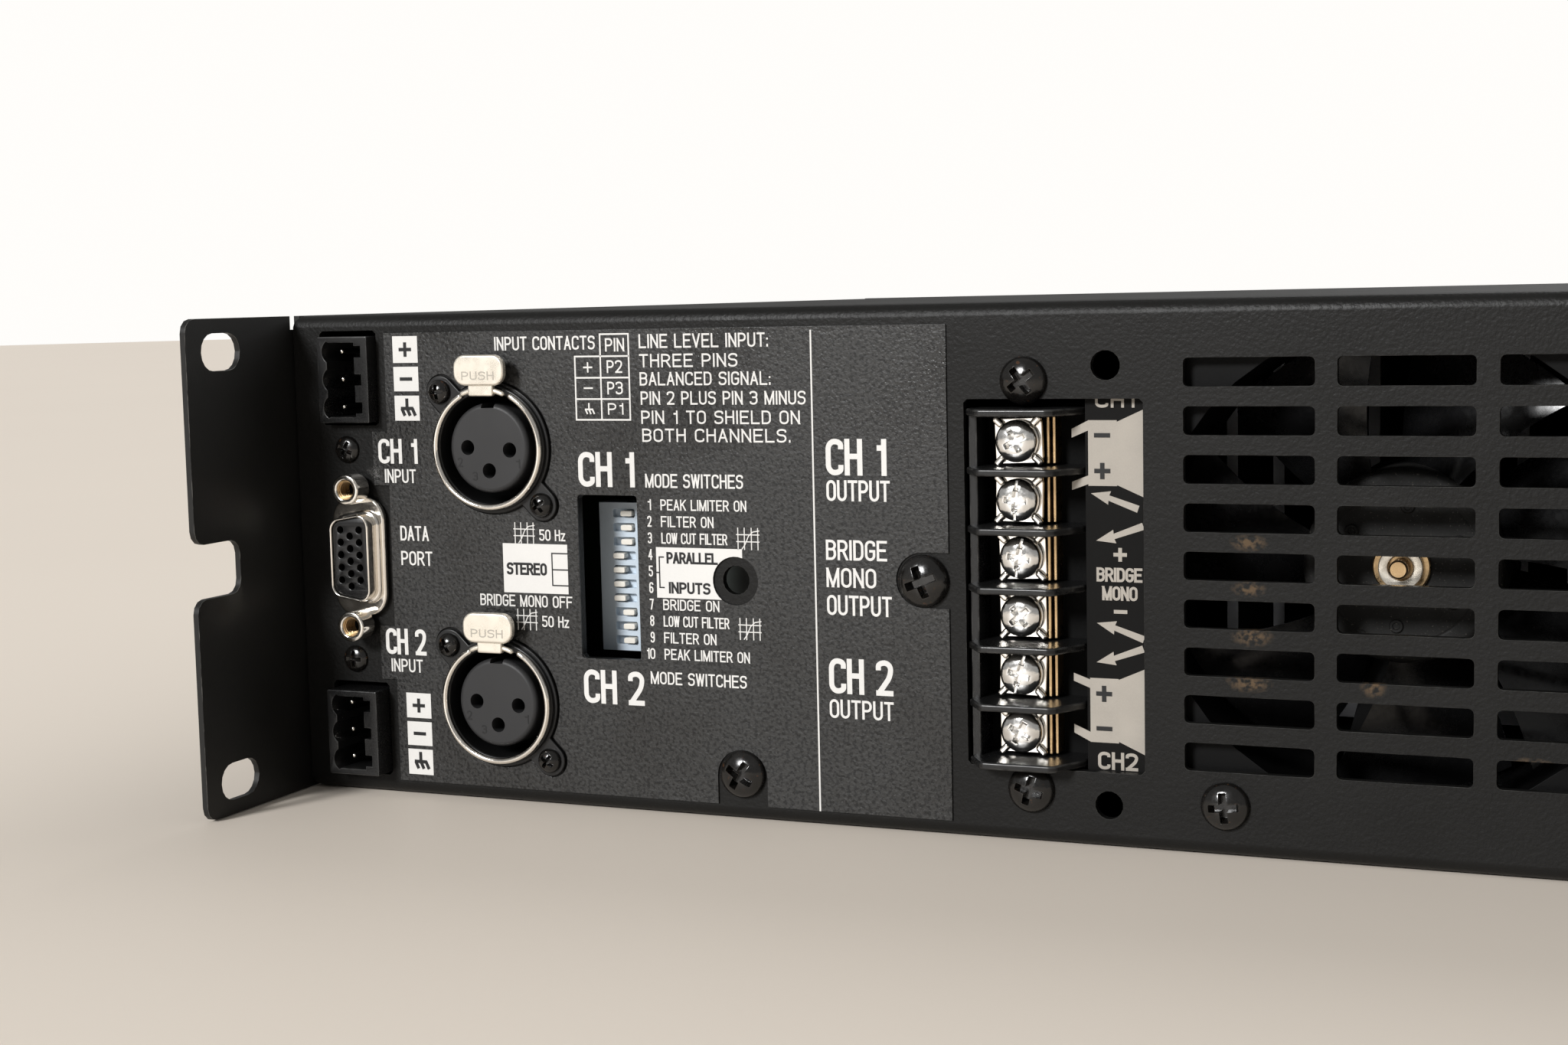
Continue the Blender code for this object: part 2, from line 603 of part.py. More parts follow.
def legend_plates(film):
    """The printed overlay around the inputs, and the recessed plate beside the terminals."""
    bm = bmesh.new()
    left, right, low, high = rear_x(20.2 * MM), rear_x(127.0 * MM), 2.8 * MM, 84.6 * MM
    add_prism(bm, rectangle(right, left, low, high), REAR_Y + GAP, REAR_Y + 2 * GAP)
    overlay = make("control_overlay", bm, film)
    front, back = REAR_Y + SHEET, REAR_Y - SHEET
    holes = bmesh.new()
    window = (rear_x(DIP_WINDOW_CENTRE[0]), DIP_WINDOW_CENTRE[1])
    add_prism(holes, rounded_rectangle(window, DIP_WINDOW_SIZE, 0.6 * MM, 1), back, front)
    add_prism(holes, circle((rear_x(88.6 * MM), 41.5 * MM), 4.2 * MM, 20), back, front)
    add_prism(holes, arch((rear_x(89.05 * MM), 7.6 * MM), 4.65 * MM, "down"), back, front)
    add_prism(holes, arch((rear_x(122.4 * MM), 42.6 * MM), 4.6 * MM, "right"), back, front)
    for place in XLR_CENTRES:
        x, z = rear_x(place[0]), place[1]
        outline = circle((x, z), XLR_FLANGE_RADIUS + 0.4 * MM, 28)
        for side in (1, -1):
            lobe = (x + side * XLR_LOBE_OFFSET, z + side * XLR_LOBE_OFFSET)
            outline = outline + circle(lobe, XLR_LOBE_RADIUS + 0.4 * MM, 14)
        add_prism(holes, hull(outline), back, front)
    cut(overlay, holes)

    bm = bmesh.new()
    plate = rectangle(rear_x(161.5 * MM), rear_x(BLOCK_RIGHT_U) - GAP, 12.0 * MM, 73.5 * MM)
    add_prism(bm, plate, REAR_Y - 3.0 * MM, REAR_Y - 2.0 * MM)
    make("output_legend_plate", bm, film)


def arch(centre, radius, open_side):
    """A round notch whose straight sides run off past the overlay's edge."""
    x, z = centre
    far = 3.0 * radius
    if open_side == "down":
        return arc(centre, radius, 0, 180, 10) + [(x - radius, z - far), (x + radius, z - far)]
    return arc(centre, radius, -90, 90, 10)[::-1] + [(x - far, z - radius), (x - far, z + radius)]


# Fan ------------------------------------------------------------------------

def fan(plastic, dark):
    """An 80 mm exhaust fan: square frame with a spider, and a bladed rotor on a Y axis."""
    location = rear_point(FAN_CENTRE)
    bm = bmesh.new()
    add_prism(bm, rounded_rectangle((0.0, 0.0), (FAN_SIZE, FAN_SIZE), 3.0 * MM, 2), FAN_BACK, FAN_FRONT)
    frame = make("fan_frame", bm, plastic, location, smooth=True)
    bore = bmesh.new()
    add_turned(bore, ((FAN_BORE_RADIUS, FAN_BACK - MM), (FAN_BORE_RADIUS, FAN_FRONT + MM)), 40)
    cut(frame, bore)
    spider = bmesh.new()
    add_turned(spider, ((16.0 * MM, FAN_BACK), (16.0 * MM, FAN_BACK + 3.0 * MM)), 24)
    unite(frame, spider)
    for index, angle in enumerate((45.0, 165.0, 285.0)):
        strut = bmesh.new()
        along = (math.cos(math.radians(angle)), math.sin(math.radians(angle)))
        across = (-along[1], along[0])
        corners = []
        for distance, side in ((14, -1), (39, -1), (39, 1), (14, 1)):
            offset = side * 2.5 * MM
            corners.append((along[0] * distance * MM + across[0] * offset,
                            along[1] * distance * MM + across[1] * offset))
        add_prism(strut, corners, FAN_BACK + 0.2 * MM, FAN_BACK + 2.8 * MM)
        combine(frame, helper("fan_strut_%d" % index, strut, location), "UNION")

    bm = bmesh.new()
    profile = ((HUB_RADIUS, -24.0 * MM), (HUB_RADIUS, -9.8 * MM), (HUB_RADIUS - 0.8 * MM, -9.0 * MM),
               (4.4 * MM, -9.0 * MM), (4.4 * MM, -8.2 * MM), (1.5 * MM, -8.2 * MM), (1.5 * MM, -4.6 * MM))
    add_turned(bm, profile, 28)
    rotor = make("fan_rotor", bm, dark, location, smooth=True)
    blades = bmesh.new()
    for index in range(BLADE_COUNT):
        add_blade(blades, 2 * math.pi * index / BLADE_COUNT)
    unite(rotor, blades)


def add_blade(bm, start):
    """One blade. It widens outward, and its leading edge lies nearer the panel."""
    stations, chords, half_thickness = 3, 4, 0.5 * MM
    grids = []
    for side in (-1, 1):
        grid = []
        for i in range(stations + 1):
            part = i / stations
            radius = 14.6 * MM + (BLADE_RADIUS - 14.6 * MM) * part
            spread = math.radians(40.0 + 4.0 * part)
            row = []
            for j in range(chords + 1):
                across = j / chords
                angle = start + spread * (across - 0.5) + math.radians(10.0) * part
                level = -22.5 * MM + 12.5 * MM * across + 1.2 * MM * math.sin(math.pi * across)
                row.append(bm.verts.new((radius * math.cos(angle), level + side * half_thickness,
                                         radius * math.sin(angle))))
            grid.append(row)
        grids.append(grid)
    under, over = grids
    for grid in grids:
        for near, far in zip(grid, grid[1:]):
            for j in range(chords):
                bm.faces.new((near[j], near[j + 1], far[j + 1], far[j]))
    for i in range(stations):
        for j in (0, chords):
            bm.faces.new((under[i][j], under[i + 1][j], over[i + 1][j], over[i][j]))
    for j in range(chords):
        for i in (0, stations):
            bm.faces.new((under[i][j], under[i][j + 1], over[i][j + 1], over[i][j]))


# Mains inlet and front controls ---------------------------------------------

def mains_inlet(black):
    """A three-pin appliance inlet with its flange on the rear panel."""
    location = rear_point(INLET_CENTRE)
    bm = bmesh.new()
    add_prism(bm, rounded_rectangle((0.0, 0.0), INLET_FLANGE, 3.0 * MM, 3), GAP, 2.6 * MM)
    inlet = make("mains_inlet", bm, black, location)
    body = bmesh.new()
    add_prism(body, rectangle(-INLET_BODY[0] / 2, INLET_BODY[0] / 2, -INLET_BODY[1] / 2, INLET_BODY[1] / 2),
              -INLET_DEPTH - 2.0 * MM, 1.5 * MM)
    unite(inlet, body)
    half_x, half_z, chamfer = INLET_CAVITY[0] / 2, INLET_CAVITY[1] / 2, 4.5 * MM
    outline = [(-half_x, -half_z), (half_x, -half_z), (half_x, half_z - chamfer)]
    outline += [(half_x - chamfer, half_z), (-half_x + chamfer, half_z), (-half_x, half_z - chamfer)]
    cavity = bmesh.new()
    add_prism(cavity, outline, -INLET_DEPTH, 4.0 * MM)
    cut(inlet, cavity)


def gain_knobs(black):
    """Two control knobs, each with the shaft that it turns. The axis runs along Y."""
    for number, place in enumerate(KNOB_CENTRES, 1):
        bm = bmesh.new()
        profile = ((3.0 * MM, 14.0 * MM), (3.0 * MM, -1.0 * MM), (KNOB_RADIUS, -1.0 * MM),
                   (KNOB_RADIUS, -4.0 * MM), (KNOB_RADIUS - 1.5 * MM, -5.0 * MM),
                   (KNOB_RADIUS - 2.3 * MM, -KNOB_REACH + 0.8 * MM), (KNOB_RADIUS - 3.1 * MM, -KNOB_REACH))
        add_turned(bm, profile, 28)
        make("gain_knob_%d" % number, bm, black, (place[0], FRONT_Y, place[1]), smooth=True)


def power_switch(black):
    """A rocker switch: bezel with its housing, and the rocker on an X axis."""
    location = (ROCKER_CENTRE[0], FRONT_Y, ROCKER_CENTRE[1])
    bm = bmesh.new()
    add_prism(bm, rounded_rectangle((0.0, 0.0), ROCKER_BEZEL, 1.5 * MM, 2), -2.2 * MM, -GAP)
    bezel = make("rocker_frame", bm, black, location)
    housing = bmesh.new()
    outline = rounded_rectangle((0.0, 0.0), (17.6 * MM, 25.6 * MM), 0.5 * MM, 1)
    add_prism(housing, outline, -1.0 * MM, 20.0 * MM)
    unite(bezel, housing)
    well = bmesh.new()
    half_x, half_z = ROCKER_OPENING[0] / 2, ROCKER_OPENING[1] / 2
    add_prism(well, rectangle(-half_x, half_x, -half_z, half_z), -4.0 * MM, 12.0 * MM)
    cut(bezel, well)

    reach, width = 8.6 * MM, ROCKER_OPENING[0] - 0.8 * MM
    sides = [(-5.2 * MM, reach), (-2.4 * MM, 0.0), (-5.2 * MM, -reach), (3.0 * MM, -reach + 1.2 * MM)]
    sides += [(4.5 * MM, 0.0), (3.0 * MM, reach - 1.2 * MM)]
    cosine, sine = math.cos(ROCKER_REST_ANGLE), math.sin(ROCKER_REST_ANGLE)
    profile = [(y * cosine - z * sine, y * sine + z * cosine) for y, z in sides]
    bm = bmesh.new()
    add_prism(bm, profile, -width / 2, width / 2, "X")
    make("rocker", bm, black, (location[0], FRONT_Y + 1.5 * MM, location[2]))


# Inside ---------------------------------------------------------------------

def insides(board, aluminium, copper, sleeve):
    """Circuit boards, heatsink, transformer and reservoir capacitors."""
    bm = bmesh.new()
    add_box(bm, (-90.0 * MM, -150.0 * MM, 8.0 * MM), (205.0 * MM, 120.0 * MM, 9.6 * MM))
    make("main_board", bm, board)
    bm = bmesh.new()
    add_box(bm, (100.0 * MM, REAR_Y - 24.0 * MM, 3.0 * MM), (212.0 * MM, REAR_Y - 22.4 * MM, 84.0 * MM))
    make("input_board", bm, board)

    bm = bmesh.new()
    low, high = (-20.0 * MM, -60.0 * MM, 12.0 * MM), (58.0 * MM, 110.0 * MM, 18.0 * MM)
    add_box(bm, low, high)
    heatsink = make("heatsink", bm, aluminium)
    fins = bmesh.new()
    for index in range(10):
        x = low[0] + index * 8.4 * MM
        add_box(fins, (x, low[1], high[2] - MM), (x + 2.0 * MM, high[1], 82.0 * MM))
    unite(heatsink, fins)

    bm = bmesh.new()
    core = rounded_rectangle((-150.0 * MM, -10.0 * MM), (110.0 * MM, 110.0 * MM), 50.0 * MM, 6)
    add_prism(bm, core, 2.0 * MM, 62.0 * MM, "Z")
    make("transformer", bm, copper)
    for number, y in ((1, -120.0 * MM), (2, -80.0 * MM)):
        bm = bmesh.new()
        add_prism(bm, circle((130.0 * MM, y), 17.0 * MM, 20), 10.0 * MM, 60.0 * MM, "Z")
        make("capacitor_%d" % number, bm, sleeve, smooth=True)


# Build ----------------------------------------------------------------------

def main():
    for thing in list(bpy.data.objects):
        bpy.data.objects.remove(thing, do_unlink=True)
    paint = surface("black_paint", (0.022, 0.022, 0.023), 0.5)
    front_paint = surface("front_paint", (0.03, 0.03, 0.032), 0.45)
    film = surface("legend_film", (0.05, 0.05, 0.052), 0.6)
    black = surface("black_plastic", (0.012, 0.012, 0.013), 0.4)
    grey = surface("grey_plastic", (0.08, 0.08, 0.085), 0.5)
    nickel = surface("nickel", (0.78, 0.76, 0.72), 0.2, 1.0)
    cream = surface("cream_plastic", (0.85, 0.82, 0.72), 0.4)
    blue = surface("pale_blue_plastic", (0.5, 0.62, 0.75), 0.4)
    dark = surface("fan_plastic", (0.02, 0.02, 0.021), 0.3)
    foam = surface("foam", (0.02, 0.02, 0.02), 0.9)
    board = surface("circuit_board", (0.02, 0.12, 0.05), 0.4)
    aluminium = surface("aluminium", (0.75, 0.75, 0.76), 0.35, 1.0)
    copper = surface("winding_tape", (0.3, 0.16, 0.05), 0.5)
    sleeve = surface("capacitor_sleeve", (0.02, 0.03, 0.08), 0.35)

    case_plates(paint)
    side_panels(paint)
    rear_panel(paint)
    front_panel(front_paint)
    air_filter(foam)
    for number, place in enumerate(XLR_CENTRES, 1):
        xlr_socket(number, place, black, nickel, grey, cream)
    input_headers(black)
    data_port(nickel, grey)
    mode_switch(blue, cream)
    terminal_block(black)
    terminal_hardware(nickel)
    legend_plates(film)
    fan(black, dark)
    mains_inlet(black)
    gain_knobs(black)
    power_switch(black)
    insides(board, aluminium, copper, sleeve)


main()
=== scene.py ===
"""Looks of a two-channel 2U rack power amplifier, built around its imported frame.

Places on the connector panel are in millimetres: u from the panel's left end seen from
behind, v above the base, and w out of the panel's face.
"""

import json
import math

import bmesh
import bpy
from mathutils import Matrix, Vector


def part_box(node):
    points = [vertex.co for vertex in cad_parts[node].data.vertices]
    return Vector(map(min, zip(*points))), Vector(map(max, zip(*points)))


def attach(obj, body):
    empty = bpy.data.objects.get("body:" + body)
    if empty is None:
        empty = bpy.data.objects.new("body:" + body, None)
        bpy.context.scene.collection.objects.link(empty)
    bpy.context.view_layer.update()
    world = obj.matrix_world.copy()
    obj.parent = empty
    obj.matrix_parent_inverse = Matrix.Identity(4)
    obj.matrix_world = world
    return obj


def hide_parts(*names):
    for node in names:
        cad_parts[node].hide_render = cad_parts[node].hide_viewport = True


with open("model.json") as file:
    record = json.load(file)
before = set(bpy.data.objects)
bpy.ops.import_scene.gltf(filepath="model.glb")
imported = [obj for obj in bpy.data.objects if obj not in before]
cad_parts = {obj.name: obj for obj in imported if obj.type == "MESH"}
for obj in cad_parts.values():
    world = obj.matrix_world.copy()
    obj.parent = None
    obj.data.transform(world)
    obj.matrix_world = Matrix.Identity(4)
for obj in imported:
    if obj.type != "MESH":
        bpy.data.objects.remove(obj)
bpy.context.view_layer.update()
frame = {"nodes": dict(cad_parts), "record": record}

MM = 0.001
NODES = frame["nodes"]
RECORD = frame["record"]
BODY_OF = {node: body for body, members in RECORD["behaviour"]["bodies"].items() for node in members}
SLOT_OF = {part["node"]: part["material_slot"] for part in RECORD["subparts"]}
REAR_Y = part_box("rear_panel")[1].y
LEFT_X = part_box("right_side_panel")[0].x
SIDES_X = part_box("left_side_panel")[0].x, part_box("right_side_panel")[1].x
FRONT_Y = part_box("front_panel")[0].y
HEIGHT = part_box("front_panel")[1].z
FILM_TOP = 0.35
INK = 0.05
PRINT_LEVEL = 0.02
SPARE_HOLE = (88.6, 41.5)
SPARE_HOLE_RADIUS = 4.2
LOBE_REACH = 10.0 * math.sqrt(2.0)
CUT_RADIUS, CUT_LOBE = 11.95, 3.15
SHARP_ANGLE = 40.0
MARK_COLOUR = (0.09, 0.06, 0.035)
STROKE_WEIGHT = 0.128
BOLD_WEIGHT = 0.15


def rear(u, v, w=0.0):
    """World point of a place on the connector panel."""
    return Vector((LEFT_X - u * MM, REAR_Y + w * MM, v * MM))


def front(x, z, w=0.0):
    """World point of a place on the front panel, w out of its face."""
    return Vector((x * MM, FRONT_Y - w * MM, z * MM))


def upper(x, y, w=0.0):
    """World point of a place on the top cover, w above it."""
    return Vector((x * MM, y * MM, HEIGHT + w * MM))


def left_side(y, z, w=0.0):
    return Vector((SIDES_X[0] - w * MM, y * MM, z * MM))


def right_side(y, z, w=0.0):
    return Vector((SIDES_X[1] + w * MM, y * MM, z * MM))


def middle_of(node):
    """A CAD node's place on the connector panel, in millimetres."""
    low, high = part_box(node)
    centre = (low + high) / 2
    return (LEFT_X - centre.x) / MM, centre.z / MM


# --- Outlines, in millimetres ---

def polar(centre, radius, angle):
    """The point at a radius and an angle in radians about a centre."""
    return centre[0] + radius * math.cos(angle), centre[1] + radius * math.sin(angle)


def spun(a, b, degrees):
    """A point turned about the origin."""
    cosine, sine = math.cos(math.radians(degrees)), math.sin(math.radians(degrees))
    return a * cosine - b * sine, a * sine + b * cosine


def arc(centre, radius, start, end, steps=8):
    turns = [start + (end - start) * i / steps for i in range(steps + 1)]
    return [polar(centre, radius, math.radians(turn)) for turn in turns]


def circle(centre, radius, count=48):
    return arc(centre, radius, 0, 360 * (1 - 1 / count), count - 1)


def rounded(centre, size, radius, steps=6):
    """A rectangle with round corners."""
    reach_a, reach_b = size[0] / 2 - radius, size[1] / 2 - radius
    points = []
    for start, side_a, side_b in ((0, 1, 1), (90, -1, 1), (180, -1, -1), (270, 1, -1)):
        corner = (centre[0] + side_a * reach_a, centre[1] + side_b * reach_b)
        points += arc(corner, radius, start, start + 90, steps)
    return points


def hull(points):
    """The convex outline around a set of points."""
    def chain(ordered):
        kept = []
        for p in ordered:
            while len(kept) > 1 and ((kept[-1][0] - kept[-2][0]) * (p[1] - kept[-2][1])
                                     <= (kept[-1][1] - kept[-2][1]) * (p[0] - kept[-2][0])):
                kept.pop()
            kept.append(p)
        return kept[:-1]

    ordered = sorted(set(points))
    return chain(ordered) + chain(ordered[::-1])


# --- Mesh helpers ---

def linked(name, data):
    thing = bpy.data.objects.new(name, data)
    bpy.context.scene.collection.objects.link(thing)
    return thing


def evaluated(thing):
    """The mesh of an object with its modifiers, as a bmesh. The object is removed."""
    mesh = bpy.data.meshes.new_from_object(thing.evaluated_get(bpy.context.evaluated_depsgraph_get()))
    bm = bmesh.new()
    bm.from_mesh(mesh)
    bpy.data.meshes.remove(mesh)
    bpy.data.objects.remove(thing)
    return bm


def mark_edges(bm, faces):
    """Notes which faces are rounded edges, where the finish wears."""
    layer = bm.loops.layers.float.get("edge") or bm.loops.layers.float.new("edge")
    for face in faces:
        for loop in face.loops:
            loop[layer] = 1.0


def plate(outlines, back, top, edge=0.1, steps=1, to_world=rear):
    """A sheet between two levels. The first outline is its rim, and the others are holes."""
    curve = bpy.data.curves.new("outline", "CURVE")
    curve.dimensions, curve.fill_mode = "2D", "BOTH"
    curve.extrude, curve.bevel_depth = (top - back) / 2 - edge, edge
    curve.bevel_resolution, curve.offset = steps, -edge
    for outline in outlines:
        spline = curve.splines.new("POLY")
        spline.points.add(len(outline) - 1)
        for point, (a, b) in zip(spline.points, outline):
            point.co = (a, b, 0.0, 1.0)
        spline.use_cyclic_u = True
    bm = evaluated(linked("outline", curve))
    bmesh.ops.remove_doubles(bm, verts=bm.verts, dist=0.0005)
    slopes = [f for f in bm.faces if 0.1 < abs(f.normal.z) < 0.97]
    mark_edges(bm, slopes)
    for vert in bm.verts:
        vert.co = to_world(vert.co.x, vert.co.y, (back + top) / 2 + vert.co.z)
    return bm


def skin(bm, rings, closed=False):
    """Faces from each ring of corners to the next, with caps on the ends unless it is closed."""
    pairs = list(zip(rings, rings[1:]))
    if closed:
        pairs.append((rings[-1], rings[0]))
    else:
        bm.faces.new(rings[0])
        bm.faces.new(rings[-1])
    for near, far in pairs:
        for i in range(len(near)):
            bm.faces.new((near[i - 1], near[i], far[i], far[i - 1]))


def add_prism(bm, outline, low, high, to_world=rear):
    skin(bm, [[bm.verts.new(to_world(a, b, level)) for a, b in outline] for level in (low, high)])


def add_box(bm, low, high, to_world=rear):
    """A box between two (a, b, level) corners."""
    outline = [(low[0], low[1]), (high[0], low[1]), (high[0], high[1]), (low[0], high[1])]
    add_prism(bm, outline, low[2], high[2], to_world)


def add_turned(bm, profile, centre, count=48, to_world=rear, ripple=None):
    """Turns (radius, level) points about an axis that stands on the panel."""
    rings = []
    for radius, level in profile:
        ring = []
        for i in range(count):
            angle = 2 * math.pi * (i + 0.5) / count
            reach = radius * (ripple(angle, level) if ripple else 1.0)
            ring.append(bm.verts.new(to_world(*polar(centre, reach, angle), level)))
        rings.append(ring)
    skin(bm, rings)


def soften(bm, width, segments=2, angle=35.0):
    """Rounds every edge sharper than the angle."""
    bmesh.ops.recalc_face_normals(bm, faces=bm.faces)
    sharp = [e for e in bm.edges if e.is_manifold and e.calc_face_angle() > math.radians(angle)]
    made = bmesh.ops.bevel(bm, geom=sharp, offset=width * MM, segments=segments, profile=0.5,
                           affect="EDGES", clamp_overlap=True)
    mark_edges(bm, made["faces"])
    return bm


def carve(bm, cutter):
    """One solid cut by another."""
    solids = []
    for shape in (bm, cutter):
        bmesh.ops.recalc_face_normals(shape, faces=shape.faces)
        mesh = bpy.data.meshes.new("solid")
        shape.to_mesh(mesh)
        shape.free()
        solids.append(linked("solid", mesh))
    step = solids[0].modifiers.new("carve", "BOOLEAN")
    step.operation, step.solver, step.object = "DIFFERENCE", "EXACT", solids[1]
    bpy.context.view_layer.update()
    result = evaluated(solids[0])
    bpy.data.objects.remove(solids[1])
    return result


def join(bm, other):
    """Adds a second bmesh's shapes to the first."""
    mesh = bpy.data.meshes.new("part")
    other.to_mesh(mesh)
    other.free()
    bm.from_mesh(mesh)
    bpy.data.meshes.remove(mesh)
    return bm


def piece(name, bm, finish, body="chassis", slot=None, stands_for=()):
    """Makes the shown object, and ties it to its body."""
    bmesh.ops.recalc_face_normals(bm, faces=bm.faces)
    mesh = bpy.data.meshes.new(name)
    bm.to_mesh(mesh)
    bm.free()
    mesh.shade_smooth()
    mesh.set_sharp_from_angle(angle=math.radians(SHARP_ANGLE))
    mesh.materials.append(finish)
    thing = linked(name, mesh)
    normals = thing.modifiers.new("normals", "WEIGHTED_NORMAL")
    normals.keep_sharp, normals.weight = True, 100
    if stands_for:
        body, slot = BODY_OF[stands_for[0]], SLOT_OF[stands_for[0]]
        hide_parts(*stands_for)
    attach(thing, body)
    return thing


def softened(node, finish, width=0.15, segments=2):
    """A copy of a CAD node with rounded edges, which stands for it."""
    bm = bmesh.new()
    bm.from_mesh(NODES[node].data)
    bmesh.ops.remove_doubles(bm, verts=bm.verts, dist=1e-6)
    bmesh.ops.dissolve_limit(bm, angle_limit=math.radians(0.5), verts=bm.verts, edges=bm.edges)
    soften(bm, width, segments)
    return piece(node + "_shell", bm, finish, stands_for=(node,))


# --- Finishes ---

class Finish:
    """A Principled material whose colour, roughness and relief come from noises in object space."""

    def __init__(self, name):
        self.material = bpy.data.materials.new(name)
        self.material.use_nodes = True
        self.tree = self.material.node_tree
        self.shader = self.tree.nodes["Principled BSDF"]
        self.place = self.add("TexCoord").outputs["Object"]

    def add(self, kind, inputs=(), **settings):
        made = self.tree.nodes.new("ShaderNode" + kind)
        for key, value in settings.items():
            setattr(made, key, value)
        for key, value in dict(inputs).items():
            self.plug(made.inputs[key], value)
        return made

    def plug(self, socket, value):
        if isinstance(value, bpy.types.NodeSocket):
            self.tree.links.new(value, socket)
        else:
            socket.default_value = value

    def noise(self, size, detail=2.0, stretch=(1.0, 1.0, 1.0)):
        """Noise whose blobs are about size millimetres wide."""
        place = self.add("Mapping", {"Vector": self.place, "Scale": stretch}).outputs[0]
        return self.add("TexNoise", {"Vector": place, "Scale": 1 / (size * MM), "Detail": detail}).outputs[0]

    def span(self, value, low, high, to_low=0.0, to_high=1.0):
        """Maps one range onto another, held at its ends."""
        inputs = {"Value": value, 1: low, 2: high, 3: to_low, 4: to_high}
        return self.add("MapRange", inputs).outputs[0]

    def math(self, operation, first, second):
        return self.add("Math", {0: first, 1: second}, operation=operation).outputs[0]

    def mix(self, factor, first, second):
        """Blends two colours."""
        inputs = {0: factor, 6: first, 7: second}
        return self.add("Mix", inputs, data_type="RGBA").outputs[2]

    def near(self, centre, reach):
        """1 at a world point, falling to 0 at the reach in millimetres along X, Y and Z."""
        offset = self.add("VectorMath", {0: self.place, 1: centre}, operation="SUBTRACT").outputs[0]
        scale = [1 / (r * MM) for r in reach]
        scaled = self.add("VectorMath", {0: offset, 1: scale}, operation="MULTIPLY").outputs[0]
        length = self.add("VectorMath", {0: scaled}, operation="LENGTH").outputs["Value"]
        return self.span(length, 1.0, 0.3)

    def relief(self, height, depth):
        """Bump of a given depth in millimetres."""
        return self.add("Bump", {"Height": height, "Distance": depth * MM, "Strength": 1.0}).outputs[0]


def rgba(colour, factor=1.0):
    return tuple(min(c * factor, 1.0) for c in colour) + (1.0,)


def surface(name, colour, rough, metal=0.0, mottle=0.15, patch=18.0, grain=0.3, depth=0.006,
            rough_spread=0.08, wear=None, specks=None, marks=(),
            brushed=None, coat=0.0, gloss=0.5):
    """A finish with broad colour patches, fine grain, worn edges, specks and marks."""
    f = Finish(name)
    broad = f.noise(patch, 3.0)
    fine = f.noise(grain, 2.0)
    shade = f.mix(f.span(broad, 0.3, 0.7), rgba(colour, 1 - mottle), rgba(colour, 1 + mottle))
    shade = f.mix(f.span(fine, 0.35, 0.75, 0.0, 0.35), shade, rgba(colour, 1 + 2 * mottle))
    roughness = f.math("ADD", f.span(broad, 0.3, 0.7, -rough_spread, rough_spread), rough)
    roughness = f.math("ADD", f.span(fine, 0.3, 0.7, -rough_spread / 2, rough_spread / 2), roughness)
    if specks:
        speck = f.span(f.noise(specks[0], 1.0), specks[1], specks[1] + 0.08)
        shade = f.mix(speck, shade, rgba(specks[2]))
    if wear:
        edge = f.add("Attribute", attribute_name="edge").outputs["Fac"]
        rubbed = f.math("MULTIPLY", edge, f.span(f.noise(2.5, 4.0), 0.42, 0.62))
        shade = f.mix(rubbed, shade, rgba(wear))
    for u, v, reach_u, reach_v in marks:
        patchy = f.span(f.noise(0.9, 4.0), 0.42, 0.6)
        spot = f.math("MULTIPLY", f.near(rear(u, v), (reach_u, 4.0, reach_v)), patchy)
        shade = f.mix(spot, shade, rgba(MARK_COLOUR))
        roughness = f.math("ADD", roughness, f.math("MULTIPLY", spot, 0.3))
    height = fine
    if brushed:
        height = f.noise(grain, 2.0, brushed)
    f.plug(f.shader.inputs["Base Color"], shade)
    f.plug(f.shader.inputs["Roughness"], roughness)
    f.plug(f.shader.inputs["Normal"], f.relief(height, depth))
    f.shader.inputs["Metallic"].default_value = metal
    f.shader.inputs["Coat Weight"].default_value = coat
    f.shader.inputs["Specular IOR Level"].default_value = gloss
    return f.material


VENT_MARKS = ((176.0, 50.0, 3.2, 1.5), (176.0, 42.8, 3.0, 1.4), (176.5, 35.3, 3.6, 1.8),
              (176.0, 28.0, 4.0, 1.7), (195.0, 28.3, 2.2, 2.0), (218.0, 17.5, 4.0, 1.3))

PAINT = surface("powder_coat", (0.0085, 0.0083, 0.0079), 0.42, grain=0.6, depth=0.07, mottle=0.1,
                wear=(0.04, 0.039, 0.036), marks=VENT_MARKS, rough_spread=0.03, gloss=0.16)
EAR_PAINT = surface("powder_coat_sides", (0.0095, 0.0093, 0.0088), 0.45, grain=0.35, depth=0.01,
                    mottle=0.1, wear=(0.2, 0.195, 0.18), rough_spread=0.03, gloss=0.3)
FRONT_PAINT = surface("front_paint", (0.03, 0.03, 0.032), 0.4, depth=0.008, mottle=0.08,
                      wear=(0.1, 0.1, 0.1))
FILM = surface("overlay_film", (0.021, 0.0207, 0.02), 0.4, grain=0.6, depth=0.11, mottle=0.1,
               specks=(0.65, 0.5, (0.005, 0.005, 0.005)), rough_spread=0.18, gloss=0.42)
PLATE_FILM = surface("legend_plate_film", (0.004, 0.0038, 0.0036), 0.55, grain=0.5, depth=0.003, gloss=0.1)
WHITE_INK = surface("white_ink", (0.66, 0.65, 0.63), 0.55, grain=0.25, depth=0.004, mottle=0.05)
# Painted shade: the recessed plate's white print, drawn at about half the white ink's brightness for the
# shadow of its recess.
SHADED_PLATE_INK = surface("plate_print_painted_shade", (0.34, 0.31, 0.27), 0.55, grain=0.25, depth=0.004, mottle=0.08, patch=6.0)
DARK_INK = surface("dark_ink", (0.012, 0.012, 0.0125), 0.5, grain=0.25, depth=0.004, gloss=0.3)
BLACK_PLASTIC = surface("black_plastic", (0.008, 0.008, 0.0082), 0.3, grain=0.4, depth=0.004,
                        wear=(0.035, 0.035, 0.034), gloss=0.4)
